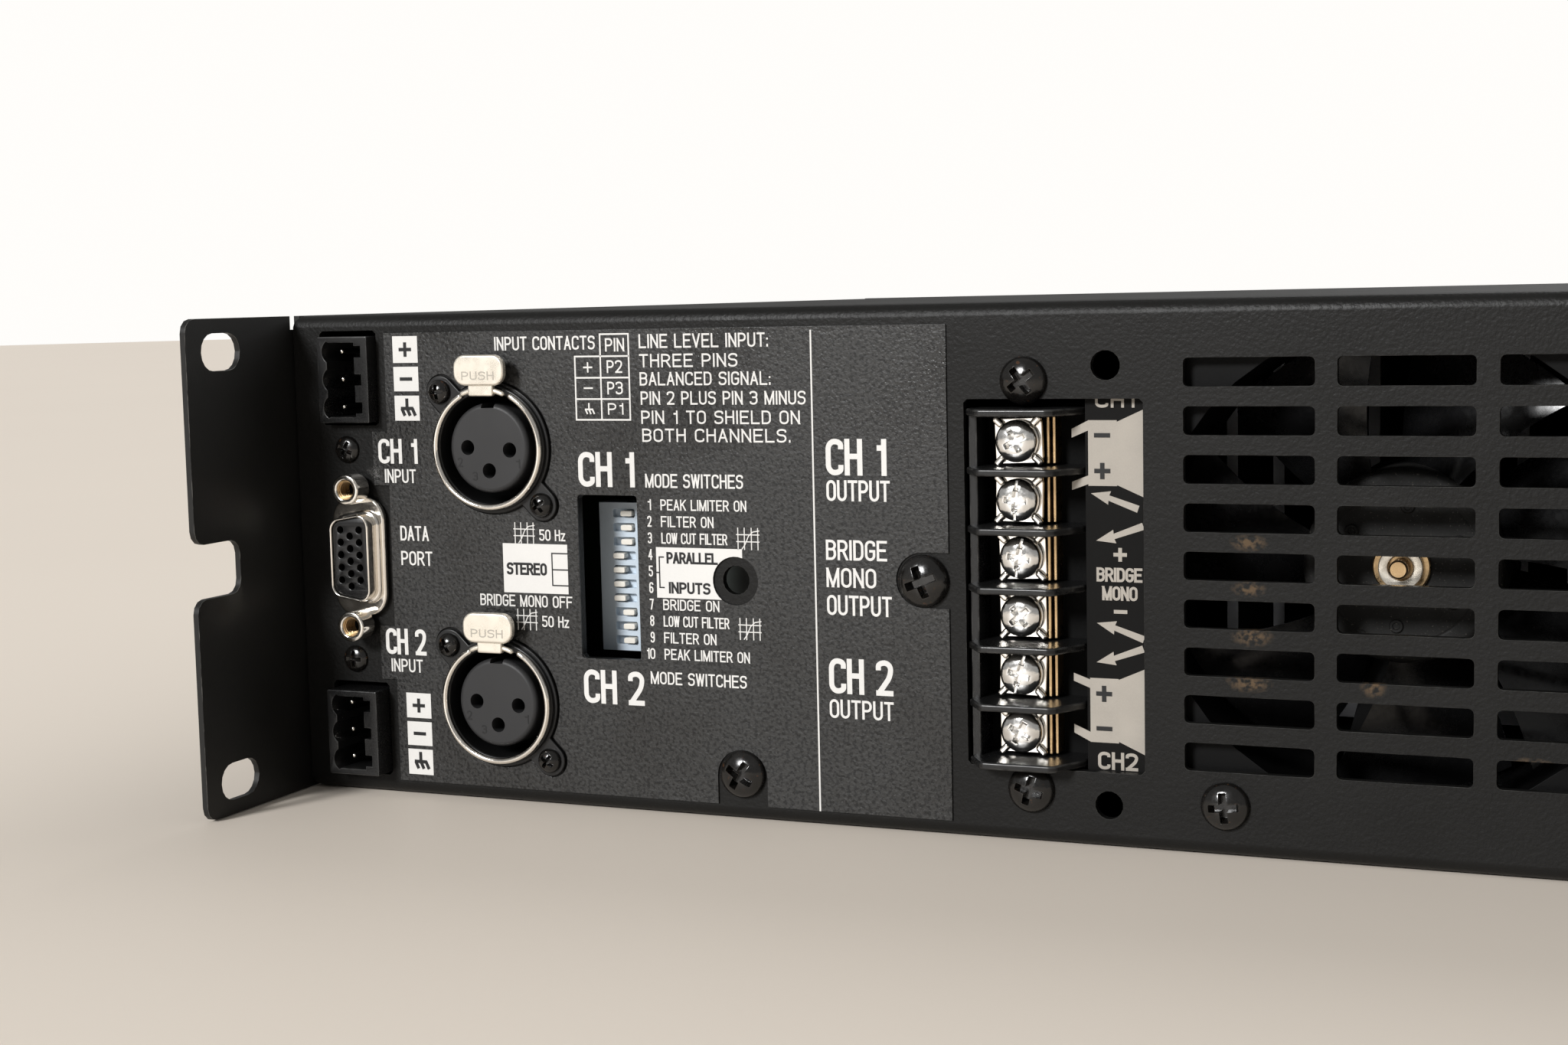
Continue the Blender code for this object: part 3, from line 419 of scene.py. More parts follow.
SHELL_PLASTIC = surface("socket_plastic", (0.009, 0.009, 0.0092), 0.36, grain=0.25, depth=0.005,
                        wear=(0.02, 0.02, 0.02), gloss=0.35)
INSERT_PLASTIC = surface("insert_plastic", (0.026, 0.026, 0.027), 0.45, grain=0.2, mottle=0.1,
                         gloss=0.3)
# Painted shade: a near-black finish laid on pin shafts, hole floors and deep faces that are only in shadow.
PAINTED_SHADE = surface("painted_cavity_shade", (0.003, 0.003, 0.003), 0.7, grain=0.4, depth=0.004, gloss=0.1)
NICKEL = surface("bright_nickel", (0.83, 0.79, 0.73), 0.13, 1.0, grain=0.5, depth=0.0015, mottle=0.06,
                 rough_spread=0.05, patch=4.0)
SCREW_NICKEL = surface("screw_nickel", (0.84, 0.83, 0.81), 0.16, 1.0, grain=0.45, depth=0.012,
                       mottle=0.08, patch=1.5)
SATIN_NICKEL = surface("satin_nickel", (0.83, 0.775, 0.68), 0.3, 0.75, grain=0.15, depth=0.004,
                       mottle=0.05, patch=3.0)
BRASS = surface("brass", (0.5, 0.35, 0.19), 0.32, 1.0, depth=0.003, mottle=0.12, patch=2.0)
BLACK_SCREW = surface("black_oxide", (0.0045, 0.004, 0.0036), 0.2, grain=0.35, depth=0.008,
                      mottle=0.3, patch=2.0, wear=(0.045, 0.037, 0.031),
                      specks=(0.8, 0.68, (0.045, 0.02, 0.009)), gloss=0.6)
# Painted shade: the latch's embossed letters, drawn in a darker copy of its nickel colour.
SHADED_STAMPING = surface("push_letters_painted_shade", (0.4, 0.37, 0.32), 0.45, depth=0.004, mottle=0.05)
CREAM_PLASTIC = surface("cream_plastic", (0.78, 0.75, 0.68), 0.35, depth=0.002, mottle=0.05)
BLUE_PLASTIC = surface("pale_blue_plastic", (0.52, 0.6, 0.68), 0.4, depth=0.003, mottle=0.06)
ROTOR_PLASTIC = surface("rotor_plastic", (0.005, 0.005, 0.0052), 0.22, grain=0.8, depth=0.004, mottle=0.3,
                        rough_spread=0.1, patch=9.0, gloss=0.45)
HUB_PLASTIC = surface("dusty_hub", (0.005, 0.0049, 0.0045), 0.65, depth=0.01, mottle=0.35,
                      patch=3.0, specks=(0.35, 0.66, (0.06, 0.055, 0.048)), gloss=0.3)
FAN_PLASTIC = surface("fan_plastic", (0.0025, 0.0025, 0.0026), 0.5, grain=0.5, gloss=0.1)
KNOB_PLASTIC = surface("knob_plastic", (0.014, 0.014, 0.015), 0.3, depth=0.004,
                       wear=(0.06, 0.06, 0.06))
FOAM = surface("foam", (0.02, 0.02, 0.02), 0.95, grain=1.0, depth=0.5, mottle=0.4)
BOARD = surface("circuit_board", (0.003, 0.009, 0.005), 0.5, grain=0.6, depth=0.004, patch=10.0)
ALUMINIUM = surface("extruded_aluminium", (0.3, 0.3, 0.31), 0.45, 1.0, grain=0.4,
                    brushed=(1.0, 0.05, 1.0))
WINDING = surface("winding_tape", (0.25, 0.14, 0.03), 0.45, grain=1.2, depth=0.05, patch=12.0, mottle=0.25)
SLEEVE = surface("capacitor_sleeve", (0.02, 0.03, 0.07), 0.3, grain=0.6, depth=0.003)
GREEN_LENS = surface("green_lens", (0.03, 0.16, 0.05), 0.2, grain=0.4, depth=0.002, coat=0.5)
RED_LENS = surface("red_lens", (0.2, 0.02, 0.015), 0.2, grain=0.4, depth=0.002, coat=0.5)
FLOOR = surface("studio_floor", (0.80, 0.72, 0.63), 0.6, grain=2.0, depth=0.005, mottle=0.005, patch=300.0,
                rough_spread=0.005)


# --- Lettering ---

# Strokes of each letter on a cell 4 wide and 8 high. A third number rounds that corner,
# and z closes the stroke.
LETTERS = {
    "A": "0,0 2,8;2,8 4,0;.8,2.5 3.2,2.5",
    "B": "0,0 0,8;0,8 4,8,2 4,4.3,1.8 0,4.3;2,4.3 4,4.3,1.8 4,0,2 0,0",
    "C": "4,6 4,8,2 0,8,2 0,0,2 4,0,2 4,2",
    "D": "0,0 0,8 4,8,2.4 4,0,2.4 z",
    "E": "4,8 0,8 0,0 4,0;0,4.2 3.4,4.2",
    "F": "0,0 0,8 4,8;0,4.2 3.4,4.2",
    "G": "4,6 4,8,2 0,8,2 0,0,2 4,0,2 4,3.8 2.2,3.8",
    "H": "0,0 0,8;4,0 4,8;0,4.2 4,4.2",
    "I": "0,0 0,8",
    "K": "0,0 0,8;4,8 .2,3.4;1.5,4.9 4,0",
    "L": "0,8 0,0 3.8,0",
    "M": "0,0 0,8;0,8 2.6,0;2.6,0 5.2,8;5.2,8 5.2,0",
    "N": "0,0 0,8;0,8 4,0;4,0 4,8",
    "O": "0,8,2 4,8,2 4,0,2 0,0,2 z",
    "P": "0,0 0,8;0,8 4,8,2 4,3.6,2 0,3.6",
    "R": "0,0 0,8;0,8 4,8,2 4,3.8,2 0,3.8;2.2,3.8 4.1,0",
    "S": "4,6.2 4,8,2 0,8,2 0,4.3,1.8 4,4.3,1.8 4,0,2 0,0,2 0,1.8",
    "T": "0,8 4,8;2,8 2,0",
    "U": "0,8 0,0,2 4,0,2 4,8",
    "V": "0,8 2,0;2,0 4,8",
    "W": "0,8 1.3,0;1.3,0 2.7,8;2.7,8 4.1,0;4.1,0 5.4,8",
    "X": "0,0 4,8;0,8 4,0",
    "Y": "0,8 2,3.8;2,3.8 4,8;2,4.2 2,0",
    "z": "0,5.4 3.2,5.4;3.2,5.4 0,0;0,0 3.2,0",
    "0": "0,8,2 4,8,2 4,0,2 0,0,2 z",
    "1": ".6,6.4 2,6.4;2,8 2,0",
    "2": "0,6 0,8,2 4,8,2 4,4.6,1.6 .3,.2;0,0 4,0",
    "3": "0,6.4 0,8,2 4,8,2 4,4.3,1.7 1.6,4.3;2.4,4.3 4,4.3,1.7 4,0,2 0,0,2 0,1.6",
    "4": "2.9,8 0,2.2;0,2.2 4,2.2;2.9,0 2.9,8",
    "5": "3.8,8 .2,8 .2,4.8 4,4.8,2 4,0,2 0,0,2 0,1.8",
    "6": "4,6.4 4,8,2 0,8,2 0,3;0,4.5,2 4,4.5,2 4,0,2 0,0,2 z",
    "7": "0,8 4,8;3.8,8 1.4,0",
    "8": "0,8,2 4,8,2 4,4.3,1.7 0,4.3,1.7 z;0,4.3,1.8 4,4.3,1.8 4,0,2 0,0,2 z",
    "9": "0,1.6 0,0,2 4,0,2 4,5;0,8,2 4,8,2 4,3.6,2 0,3.6,2 z",
    ":": "0,0 0,1.2;0,4 0,5.2",
    ".": "0,0 0,1.2",
    " ": "",
}
LETTER_GAP = 2.0
CAP = 8.0
LAYER = 0.005  # how far each crossing line lies over the one before


def fillet(points, closed):
    """Replaces each (x, y, radius) corner by a round one."""
    count = len(points)
    path = []
    for i, point in enumerate(points):
        corner = Vector(point[:2])
        if len(point) < 3 or (not closed and i in (0, count - 1)):
            path.append(corner)
            continue
        ends = []
        for other in (points[i - 1], points[(i + 1) % count]):
            step = Vector(other[:2]) - corner
            ends.append(corner + step * min(point[2] / step.length, 0.5))
        first, last = ends
        pull_first, pull_last = first.lerp(corner, 0.5523), last.lerp(corner, 0.5523)
        for t in (0.0, 0.2, 0.4, 0.6, 0.8, 1.0):
            path.append(first * (1 - t) ** 3 + pull_first * 3 * t * (1 - t) ** 2
                        + pull_last * 3 * t * t * (1 - t) + last * t ** 3)
    return [p for i, p in enumerate(path) if i == 0 or (p - path[i - 1]).length > 1e-4]


def add_stroke(bm, path, closed, width, low, high, to_world):
    """A flat line of even width along a path, with mitred corners."""
    count = len(path)
    sections = []
    for i, point in enumerate(path):
        before = point - path[i - 1] if closed or i else path[1] - point
        after = path[(i + 1) % count] - point if closed or i < count - 1 else before
        before, after = before.normalized(), after.normalized()
        along = (before + after).normalized() if (before + after).length > 1e-3 else after
        across = Vector((-along.y, along.x)) * (width / 2 / max(along.dot(after), 0.45))
        left, right = point + across, point - across
        sections.append([bm.verts.new(to_world(a, b, level)) for a, b, level in
                         ((*left, high), (*right, high), (*right, low), (*left, low))])
    skin(bm, sections, closed)


def strokes_of(letter):
    """(points, closed) for each stroke of a letter."""
    for text in filter(None, LETTERS[letter].split(";")):
        closed = text.endswith("z")
        tokens = text.rstrip("z ").split()
        yield [tuple(float(n) for n in token.split(",")) for token in tokens], closed


def letter_width(letter):
    points = [p for stroke, _ in strokes_of(letter) for p in stroke]
    return max(p[0] for p in points) if points else 1.6


def draw_stroke(bm, stroke, path, closed, width, level, to_world):
    """Draws one stroke. A straight slanting one has level ends, and the others square ends."""
    if len(stroke) == 2 and min(abs(path[1].x - path[0].x), abs(path[1].y - path[0].y)) > 1e-3:
        run = path[1] - path[0]
        half = width / 2 * run.length / abs(run.y)
        ends = []
        for cell, point, outward in ((stroke[0], path[0], -1), (stroke[1], path[1], 1)):
            reach = width / 2 / abs(run.y) if cell[1] in (0.0, CAP) else 0.0
            ends.append(point + run * (reach * outward))
        outline = [(ends[0].x - half, ends[0].y), (ends[0].x + half, ends[0].y),
                   (ends[1].x + half, ends[1].y), (ends[1].x - half, ends[1].y)]
        add_prism(bm, outline, level, level + INK, to_world)
        return
    if not closed:
        for cell, end, inner in ((stroke[0], 0, 1), (stroke[-1], -1, -2)):
            way = (path[end] - path[inner]).normalized()
            if abs(way.y) < 0.01 or (abs(way.x) < 0.01 and cell[1] in (0.0, CAP)):
                path[end] = path[end] + way * (width / 2)
    add_stroke(bm, path, closed, width, level, level + INK, to_world)


def lettering(bm, text, left, right, base, cap, weight=0.14, level=FILM_TOP, to_world=rear):
    """Writes text to fill the space from left to right. Weight is the stroke over the cap height."""
    width = weight * cap
    total = sum(letter_width(c) for c in text) + LETTER_GAP * (len(text) - 1)
    scale_a = (right - left - width) / total
    scale_b = (cap - width) / CAP
    pen = left + width / 2
    for letter in text:
        for layer, (stroke, closed) in enumerate(strokes_of(letter)):
            path = [Vector((pen + p.x * scale_a, base + width / 2 + p.y * scale_b))
                    for p in fillet(stroke, closed)]
            draw_stroke(bm, stroke, path, closed, width, level + LAYER * layer, to_world)
        pen += (letter_width(letter) + LETTER_GAP) * scale_a


def add_lines(bm, lines, width, level=FILM_TOP, to_world=rear):
    """Straight-sided lines, each a list of points. A line that ends where it starts is closed."""
    for index, line in enumerate(lines):
        closed = line[0] == line[-1] and len(line) > 2
        path = [Vector(p) for p in (line[:-1] if closed else line)]
        base = level + LAYER * (index % 8)
        add_stroke(bm, path, closed, width, base, base + INK, to_world)


def add_tile(bm, left, right, low, high):
    add_box(bm, (left, low, FILM_TOP), (right, high, FILM_TOP + INK))


# --- Screws ---

def flat(a, b, level=0.0):
    """Keeps a shape in its own plane, in millimetres."""
    return Vector((a, b, level))


def add_wedge(bm, top_size, low_size, top, low):
    """A tapered block, which cuts one arm of a cross recess."""
    corners = []
    for (size_a, size_b), level in ((low_size, low), (top_size, top)):
        a, b = size_a / 2, size_b / 2
        corners.append([bm.verts.new((x, y, level)) for x, y in ((-a, -b), (a, -b), (a, b), (-a, b))])
    skin(bm, corners)


def screw_head(profile, arm=1.5, width=0.34, depth=0.85, slot=0.0):
    """A head of radius 1 and height 1 with a cross recess, as a mesh to be stamped."""
    bm = bmesh.new()
    add_turned(bm, profile, (0.0, 0.0), 56, flat)
    for across in (False, True):
        cutter = bmesh.new()
        top, low = (arm, width), (arm * 0.6, width * 0.75)
        if across:
            top, low = top[::-1], low[::-1]
        add_wedge(cutter, top, low, 1.3, 1.0 - depth)
        bm = carve(bm, cutter)
    if slot:
        cutter = bmesh.new()
        add_wedge(cutter, (2.4, slot), (2.4, slot * 0.8), 1.3, 0.68)
        bm = carve(bm, cutter)
    soften(bm, 0.018 / MM, 2, 50.0)
    mesh = bpy.data.meshes.new("head")
    bm.to_mesh(mesh)
    bm.free()
    return mesh


def stamp(mesh, centre, radius, base, height, turn=0.0, to_world=rear):
    """A copy of a head standing on its surface, turned about its axis in degrees."""
    bm = bmesh.new()
    bm.from_mesh(mesh)
    for vert in bm.verts:
        a, b = spun(vert.co.x, vert.co.y, turn)
        vert.co = to_world(centre[0] + radius * a, centre[1] + radius * b, base + height * vert.co.z)
    return bm


def black_screw(name, mesh, place, radius, base, height, turn, to_world=rear):
    head = stamp(mesh, place, radius, base, height, turn, to_world)
    piece(name, head, BLACK_SCREW, slot="black_paint")


DOME = [(1.0, 0.0)] + [(math.cos(math.radians(t)), 0.1 + 0.9 * math.sin(math.radians(t)))
                       for t in range(0, 90, 9)] + [(0.02, 1.0)]
PAN = [(1.0, 0.0), (1.0, 0.45), (0.97, 0.62), (0.88, 0.78), (0.7, 0.9), (0.45, 0.97), (0.02, 1.0)]
COUNTERSUNK = [(0.6, 0.0), (0.97, 0.7), (1.0, 0.85), (0.97, 1.0), (0.02, 1.0)]


# --- Case ---

def case(heads):
    softened("rear_panel", PAINT, 0.16)
    softened("base_pan", PAINT, 0.2)
    softened("front_panel", FRONT_PAINT, 0.35)
    for node in ("left_side_panel", "right_side_panel"):
        softened(node, EAR_PAINT, 0.28)
    top_cover(heads)
    holes = ((140.0, 75.4, 3.9), (140.6, 8.9, 3.9), (122.6, 42.5, 4.4), (89.1, 8.1, 4.2), (172.3, 8.2, 3.9),
             (228.0, 8.2, 3.9), (262.0, 80.0, 3.9), (340.0, 8.2, 3.9), (340.0, 80.0, 3.9),
             (426.0, 8.2, 3.9), (426.0, 80.0, 3.9))
    for number, (u, v, radius) in enumerate(holes, 1):
        name = "panel_screw_%d" % number
        black_screw(name, heads["dome"], (u, v), radius, 0.0, radius * 0.6, number * 37.0)
    for side, to_world in (("left", left_side), ("right", right_side)):
        for number, y in enumerate((-168.0, -60.0, 50.0, 158.0)):
            for row, z in (("low", 9.0), ("high", 79.0)):
                name = "side_screw_%s_%s_%d" % (side, row, number + 1)
                black_screw(name, heads["dome"], (y, z), 3.0, 0.0, 1.7, 25.0 * number + z, to_world)


def top_cover(heads):
    """The cover, with countersunk screws level with its surface."""
    low, high = [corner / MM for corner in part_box("top_cover")]
    places = [(x, y) for x in (-205.0, -70.0, 70.0, 205.0) for y in (low.y + 9.0, high.y - 9.0)]
    places += [(x, y) for x in (-205.0, 205.0) for y in (-65.0, 50.0)]
    size = (high.x - low.x, high.y - low.y)
    outlines = [rounded(((low.x + high.x) / 2, (low.y + high.y) / 2), size, 0.5, 2)]
    outlines += [circle(place, 3.5, 32) for place in places]
    cover = plate(outlines, low.z - high.z, 0.0, 0.2, to_world=upper)
    piece("top_cover_shell", cover, PAINT, stands_for=("top_cover",))
    for number, place in enumerate(places, 1):
        black_screw("cover_screw_%d" % number, heads["countersunk"], place, 3.2, -1.4, 1.25,
                    number * 23.0, upper)


# --- Printed parts ---

def overlay():
    """The film around the inputs, cut round the screws, sockets and switch."""
    rim = [(20.0, 2.6), (84.4, 2.6)] + arc((89.05, 7.6), 4.65, 180, 0, 14)
    rim += [(93.7, 2.6), (127.0, 2.6), (127.0, 38.0)] + arc((122.4, 42.6), 4.6, 270, 90, 14)
    rim += [(127.0, 47.2), (127.0, 84.6), (20.0, 84.6)]
    for low, high in ((57.0, 66.8), (21.3, 31.2)):
        rim += [(20.0, high), (16.8, high), (16.8, low), (20.0, low)]
    outlines = [rim, rounded((64.4, 41.4), (11.6, 28.9), 0.6, 4), circle(SPARE_HOLE, SPARE_HOLE_RADIUS, 40)]
    for number in (1, 2):
        outlines.append(flange_outline(middle_of("xlr_%d_insert" % number), CUT_RADIUS, CUT_LOBE))
    film = plate(outlines, 0.02, FILM_TOP, 0.04)
    piece("control_overlay_film", film, FILM, stands_for=("control_overlay",))


def flange_outline(centre, radius, lobe_radius):
    """A round flange with a straight-sided screw lobe at its lower right and upper left."""
    half = math.degrees(math.asin(lobe_radius / radius))
    points = []
    for way in (-45.0, 135.0):
        lobe = polar(centre, LOBE_REACH, math.radians(way))
        points += arc(lobe, lobe_radius, way - 90, way + 90, 16)
        points += arc(centre, radius, way + half, way + 180 - half, 30)
    return points


def filter_sign(left, low):
    """A small graph of a rising curve over a grid."""
    lines = [[(left + du, low - 0.4), (left + du, low + 3.4)] for du in (0.3, 1.5, 2.8, 4.0)]
    lines += [[(left, low + dv), (left + 4.3, low + dv)] for dv in (1.0, 2.2)]
    lines.append([(left + 1.0, low - 0.3), (left + 1.6, low + 0.5), (left + 2.3, low + 2.0),
                  (left + 3.1, low + 2.7), (left + 4.3, low + 2.9)])
    return lines


def control_legends():
    """White lettering, lines and panels on the overlay, with dark words on the panels."""
    white, dark = bmesh.new(), bmesh.new()
    words = [("CH 1", 18.0, 26.3, 61.0, 4.5), ("INPUT", 19.2, 25.8, 57.5, 2.5),
             ("CH 2", 18.0, 26.6, 26.0, 4.8), ("INPUT", 19.0, 25.7, 22.8, 2.4),
             ("DATA", 22.0, 28.0, 47.0, 2.7), ("PORT", 22.0, 28.6, 42.5, 2.6),
             ("INPUT CONTACTS", 43.0, 63.0, 81.2, 2.4), ("PIN", 65.0, 68.7, 80.8, 2.3),
             ("P2", 65.2, 68.2, 77.1, 2.2), ("P3", 65.2, 68.2, 73.4, 2.2), ("P1", 65.2, 68.2, 69.9, 2.0),
             ("LINE LEVEL INPUT:", 71.5, 95.7, 81.3, 2.4), ("THREE PINS", 71.5, 90.0, 78.0, 2.3),
             ("BALANCED SIGNAL:", 71.5, 96.0, 74.9, 2.3), ("PIN 2 PLUS PIN 3 MINUS", 71.6, 102.3, 71.6, 2.3),
             ("PIN 1 TO SHIELD ON", 71.6, 101.2, 68.3, 2.3), ("BOTH CHANNELS.", 71.7, 99.4, 65.2, 2.3),
             ("CH 1", 59.0, 70.0, 57.3, 6.1), ("MODE SWITCHES", 72.0, 90.5, 57.3, 2.4),
             ("CH 2", 58.8, 70.7, 19.0, 6.0), ("MODE SWITCHES", 72.0, 90.3, 23.0, 2.2),
             ("50 Hz", 50.8, 56.0, 47.6, 2.0), ("50 Hz", 50.8, 56.2, 32.2, 2.0),
             ("BRIDGE MONO OFF", 38.3, 57.0, 35.7, 2.1),
             ("CH 1", 105.7, 116.5, 59.8, 6.1), ("OUTPUT", 105.7, 117.0, 55.5, 3.5),
             ("BRIDGE", 105.4, 116.3, 45.6, 3.4), ("MONO", 105.4, 114.3, 41.0, 3.3),
             ("OUTPUT", 105.4, 117.0, 36.3, 3.4), ("CH 2", 105.5, 117.0, 23.0, 6.0),
             ("OUTPUT", 105.5, 117.0, 18.8, 3.2)]
    labels = {1: ("PEAK LIMITER ON", 91.0), 2: ("FILTER ON", 84.8), 3: ("LOW CUT FILTER", 87.3),
              7: ("BRIDGE ON", 85.5)}
    labels.update({11 - number: labels[number] for number in (1, 2, 3)})
    for number in range(1, 11):
        base = FIRST_SWITCH - SWITCH_PITCH * (number - 1)
        words.append((str(number), 71.3 if number == 10 else 72.2, 73.0, base, 1.9))
        if number in labels:
            word, right = labels[number]
            words.append((word, 74.8, right, base, 1.9))
    for word, left, right, base, cap in words:
        lettering(white, word, left, right, base, cap, BOLD_WEIGHT if cap > 4 else STROKE_WEIGHT)
    lines = [[(103.4, 2.6), (103.4, 84.0)],
             [(64.0, 80.0), (64.0, 83.8), (69.5, 83.8), (69.5, 69.0), (59.0, 69.0), (59.0, 80.0),
              (69.5, 80.0)],
             [(59.0, 76.3), (69.5, 76.3)], [(59.0, 72.6), (69.5, 72.6)], [(64.0, 80.0), (64.0, 69.0)],
             [(60.6, 78.1), (62.4, 78.1)], [(61.5, 79.0), (61.5, 77.2)], [(60.6, 74.5), (62.4, 74.5)]]
    lines += [[(a * 0.62 + 61.5, b * 0.62 + 70.8) for a, b in line] for line in GROUND_SIGN]
    add_lines(white, lines, 0.28)
    for left, low in ((89.0, 47.3), (89.0, 31.8), (45.6, 47.4), (45.6, 31.9)):
        add_lines(white, filter_sign(left, low), 0.17)

    for top, bottom in ((84.0, 79.2), (78.5, 74.1), (73.3, 68.8), (19.0, 14.4), (13.7, 9.3), (8.6, 3.9)):
        add_tile(white, 21.9, 27.1, bottom, top)
    add_tile(white, 43.3, 56.3, 38.2, 47.0)
    bite = arc(SPARE_HOLE, SPARE_HOLE_RADIUS, 70.5, 231.8, 14)
    add_prism(white, [(73.7, 38.2), (73.7, 47.0), (90.0, 47.0)] + bite, FILM_TOP, FILM_TOP + INK)
    piece("legend_lettering", white, WHITE_INK)

    over = FILM_TOP + INK
    for centre_v, sign in ((81.6, PLUS_SIGN), (76.3, MINUS_SIGN), (71.0, GROUND_SIGN),
                           (16.7, PLUS_SIGN), (11.5, MINUS_SIGN), (6.3, GROUND_SIGN)):
        moved = [[(24.5 + a, centre_v + b) for a, b in line] for line in sign]
        add_lines(dark, moved, 0.62, over)
    for word, left, right, base, cap in (
            ("STEREO", 44.0, 52.1, 41.4, 2.2), ("PARALLEL", 75.7, 85.4, 44.2, 2.0),
            ("INPUTS", 76.0, 83.9, 39.0, 2.0)):
        lettering(dark, word, left, right, base, cap, 0.19, over)
    brackets = [[(56.3, 45.4), (53.2, 45.4), (53.2, 39.7), (56.3, 39.7)], [(53.2, 42.5), (56.3, 42.5)],
                [(75.2, 45.3), (74.3, 45.3), (74.3, 40.0), (75.2, 40.0)], [(73.7, 42.6), (74.3, 42.6)]]
    add_lines(dark, brackets, 0.22, over)
    piece("legend_dark_words", dark, DARK_INK)


PLATE_MIDDLE = 42.85
SWITCH_PITCH = 2.89
FIRST_SWITCH = 53.4
ARROW = [(0.0, 0.0), (3.3, 0.37), (3.0, -0.3), (7.9, -1.9), (7.5, -3.0), (2.85, -1.15), (2.8, -1.8)]
PLUS_SIGN = [[(-1.3, 0.0), (1.3, 0.0)], [(0.0, -1.3), (0.0, 1.3)]]
MINUS_SIGN = [[(-1.3, 0.0), (1.3, 0.0)]]
GROUND_SIGN = [[(0.0, 1.8), (0.0, 0.0)], [(-1.3, 0.0), (1.3, 0.0)]]
GROUND_SIGN += [[(side, 0.0), (side + 0.6, -1.3)] for side in (-1.1, 0.0, 1.1)]


def output_legends():
    """The recessed plate beside the terminals: two loudspeakers, arrows and words."""
    low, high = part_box("output_legend_plate")
    left, right = (LEFT_X - high.x) / MM, (LEFT_X - low.x) / MM
    face = (high.y - REAR_Y) / MM
    rim = rounded(middle_of("output_legend_plate"), (right - left, (high.z - low.z) / MM), 0.3, 1)
    piece("output_plate", plate([rim], face - 0.9, face, 0.05), PLATE_FILM,
          stands_for=("output_legend_plate",))
    white, dark = bmesh.new(), bmesh.new()
    horn = [(154.6, 68.6), (right - 0.1, 71.7), (right - 0.1, 55.6), (154.6, 58.6)]
    box = [(150.0, 58.4), (154.7, 58.4), (154.7, 68.9), (150.0, 68.9)]
    tabs = [[(150.1, 68.9), (147.3, 67.5), (147.3, 66.1), (150.1, 67.3)],
            [(150.1, 60.1), (147.3, 59.0), (147.3, 57.7), (150.1, 58.7)]]
    shapes = [[(u, PLATE_MIDDLE + side * (v - PLATE_MIDDLE)) for u, v in shape]
              for side in (1, -1) for shape in [horn, box] + tabs]
    for u, v, side in ((150.4, 57.2, 1), (151.2, 49.6, -1), (151.2, 36.3, 1), (151.1, 29.9, -1)):
        shapes.append([(u + a, v + side * b) for a, b in ARROW])
    for layer, shape in enumerate(shapes):
        base = face + LAYER * (layer % 4)
        add_prism(white, shape, base, base + INK)
    over = face + 2 * INK
    for v, sign in ((66.5, MINUS_SIGN), (60.8, PLUS_SIGN), (2 * PLATE_MIDDLE - 60.9, PLUS_SIGN),
                    (2 * PLATE_MIDDLE - 66.6, MINUS_SIGN)):
        add_lines(dark, [[(152.3 + a, v + b) for a, b in line] for line in sign], 0.7, over)
    for v, sign in ((47.4, PLUS_SIGN), (38.2, MINUS_SIGN)):
        add_lines(white, [[(155.1 + 0.85 * a, v + 0.85 * b) for a, b in line] for line in sign], 0.6, face)
    for word, start, end, base, cap in (
            ("BRIDGE", 151.2, 158.7, 43.0, 2.3), ("MONO", 152.1, 157.9, 40.0, 2.3),
            ("CH1", 151.2, 157.6, 70.9, 2.5), ("CH2", 151.2, 157.8, 12.4, 2.9)):
        lettering(white, word, start, end, base, cap, 0.18, face)
    # Painted shade: the white print on the recessed plate is drawn dimmed.
    piece("output_plate_print", white, SHADED_PLATE_INK)
    piece("output_plate_signs", dark, DARK_INK)


# --- Signal connectors ---

SOCKET_BORE = 9.9
FLANGE_RADIUS, LOBE_RADIUS = 11.7, 2.85
RING_RADIUS = 10.49
CONTACTS = ((-4.25, 0.1), (4.25, -0.3), (0.0, -4.0))
CONTACT_RADIUS = 1.35
HEADER_PITCH = 5.08
D_LEAN = math.radians(10.0)

def add_bead(bm, centre, radius, level, bead, start, end, steps=72):
    """A round wire bent into an arc, with rounded ends."""
    reach = math.degrees(bead / radius)
    caps = [(reach * math.cos(t), max(math.sin(t), 0.05)) for t in (0.0, 0.52, 1.05, 1.57)]
    stations = [(start - ahead, scale) for ahead, scale in caps]
    stations += [(start + (end - start) * i / steps, 1.0) for i in range(1, steps)]
    stations += [(end + ahead, scale) for ahead, scale in caps[::-1]]
    rings = []
    for degrees, scale in stations:
        angle = math.radians(degrees)
        ring = []
        for r, w in circle((radius, level), bead * scale, 12):
            ring.append(bm.verts.new(rear(*polar(centre, r, angle), w)))
        rings.append(ring)
    skin(bm, rings)


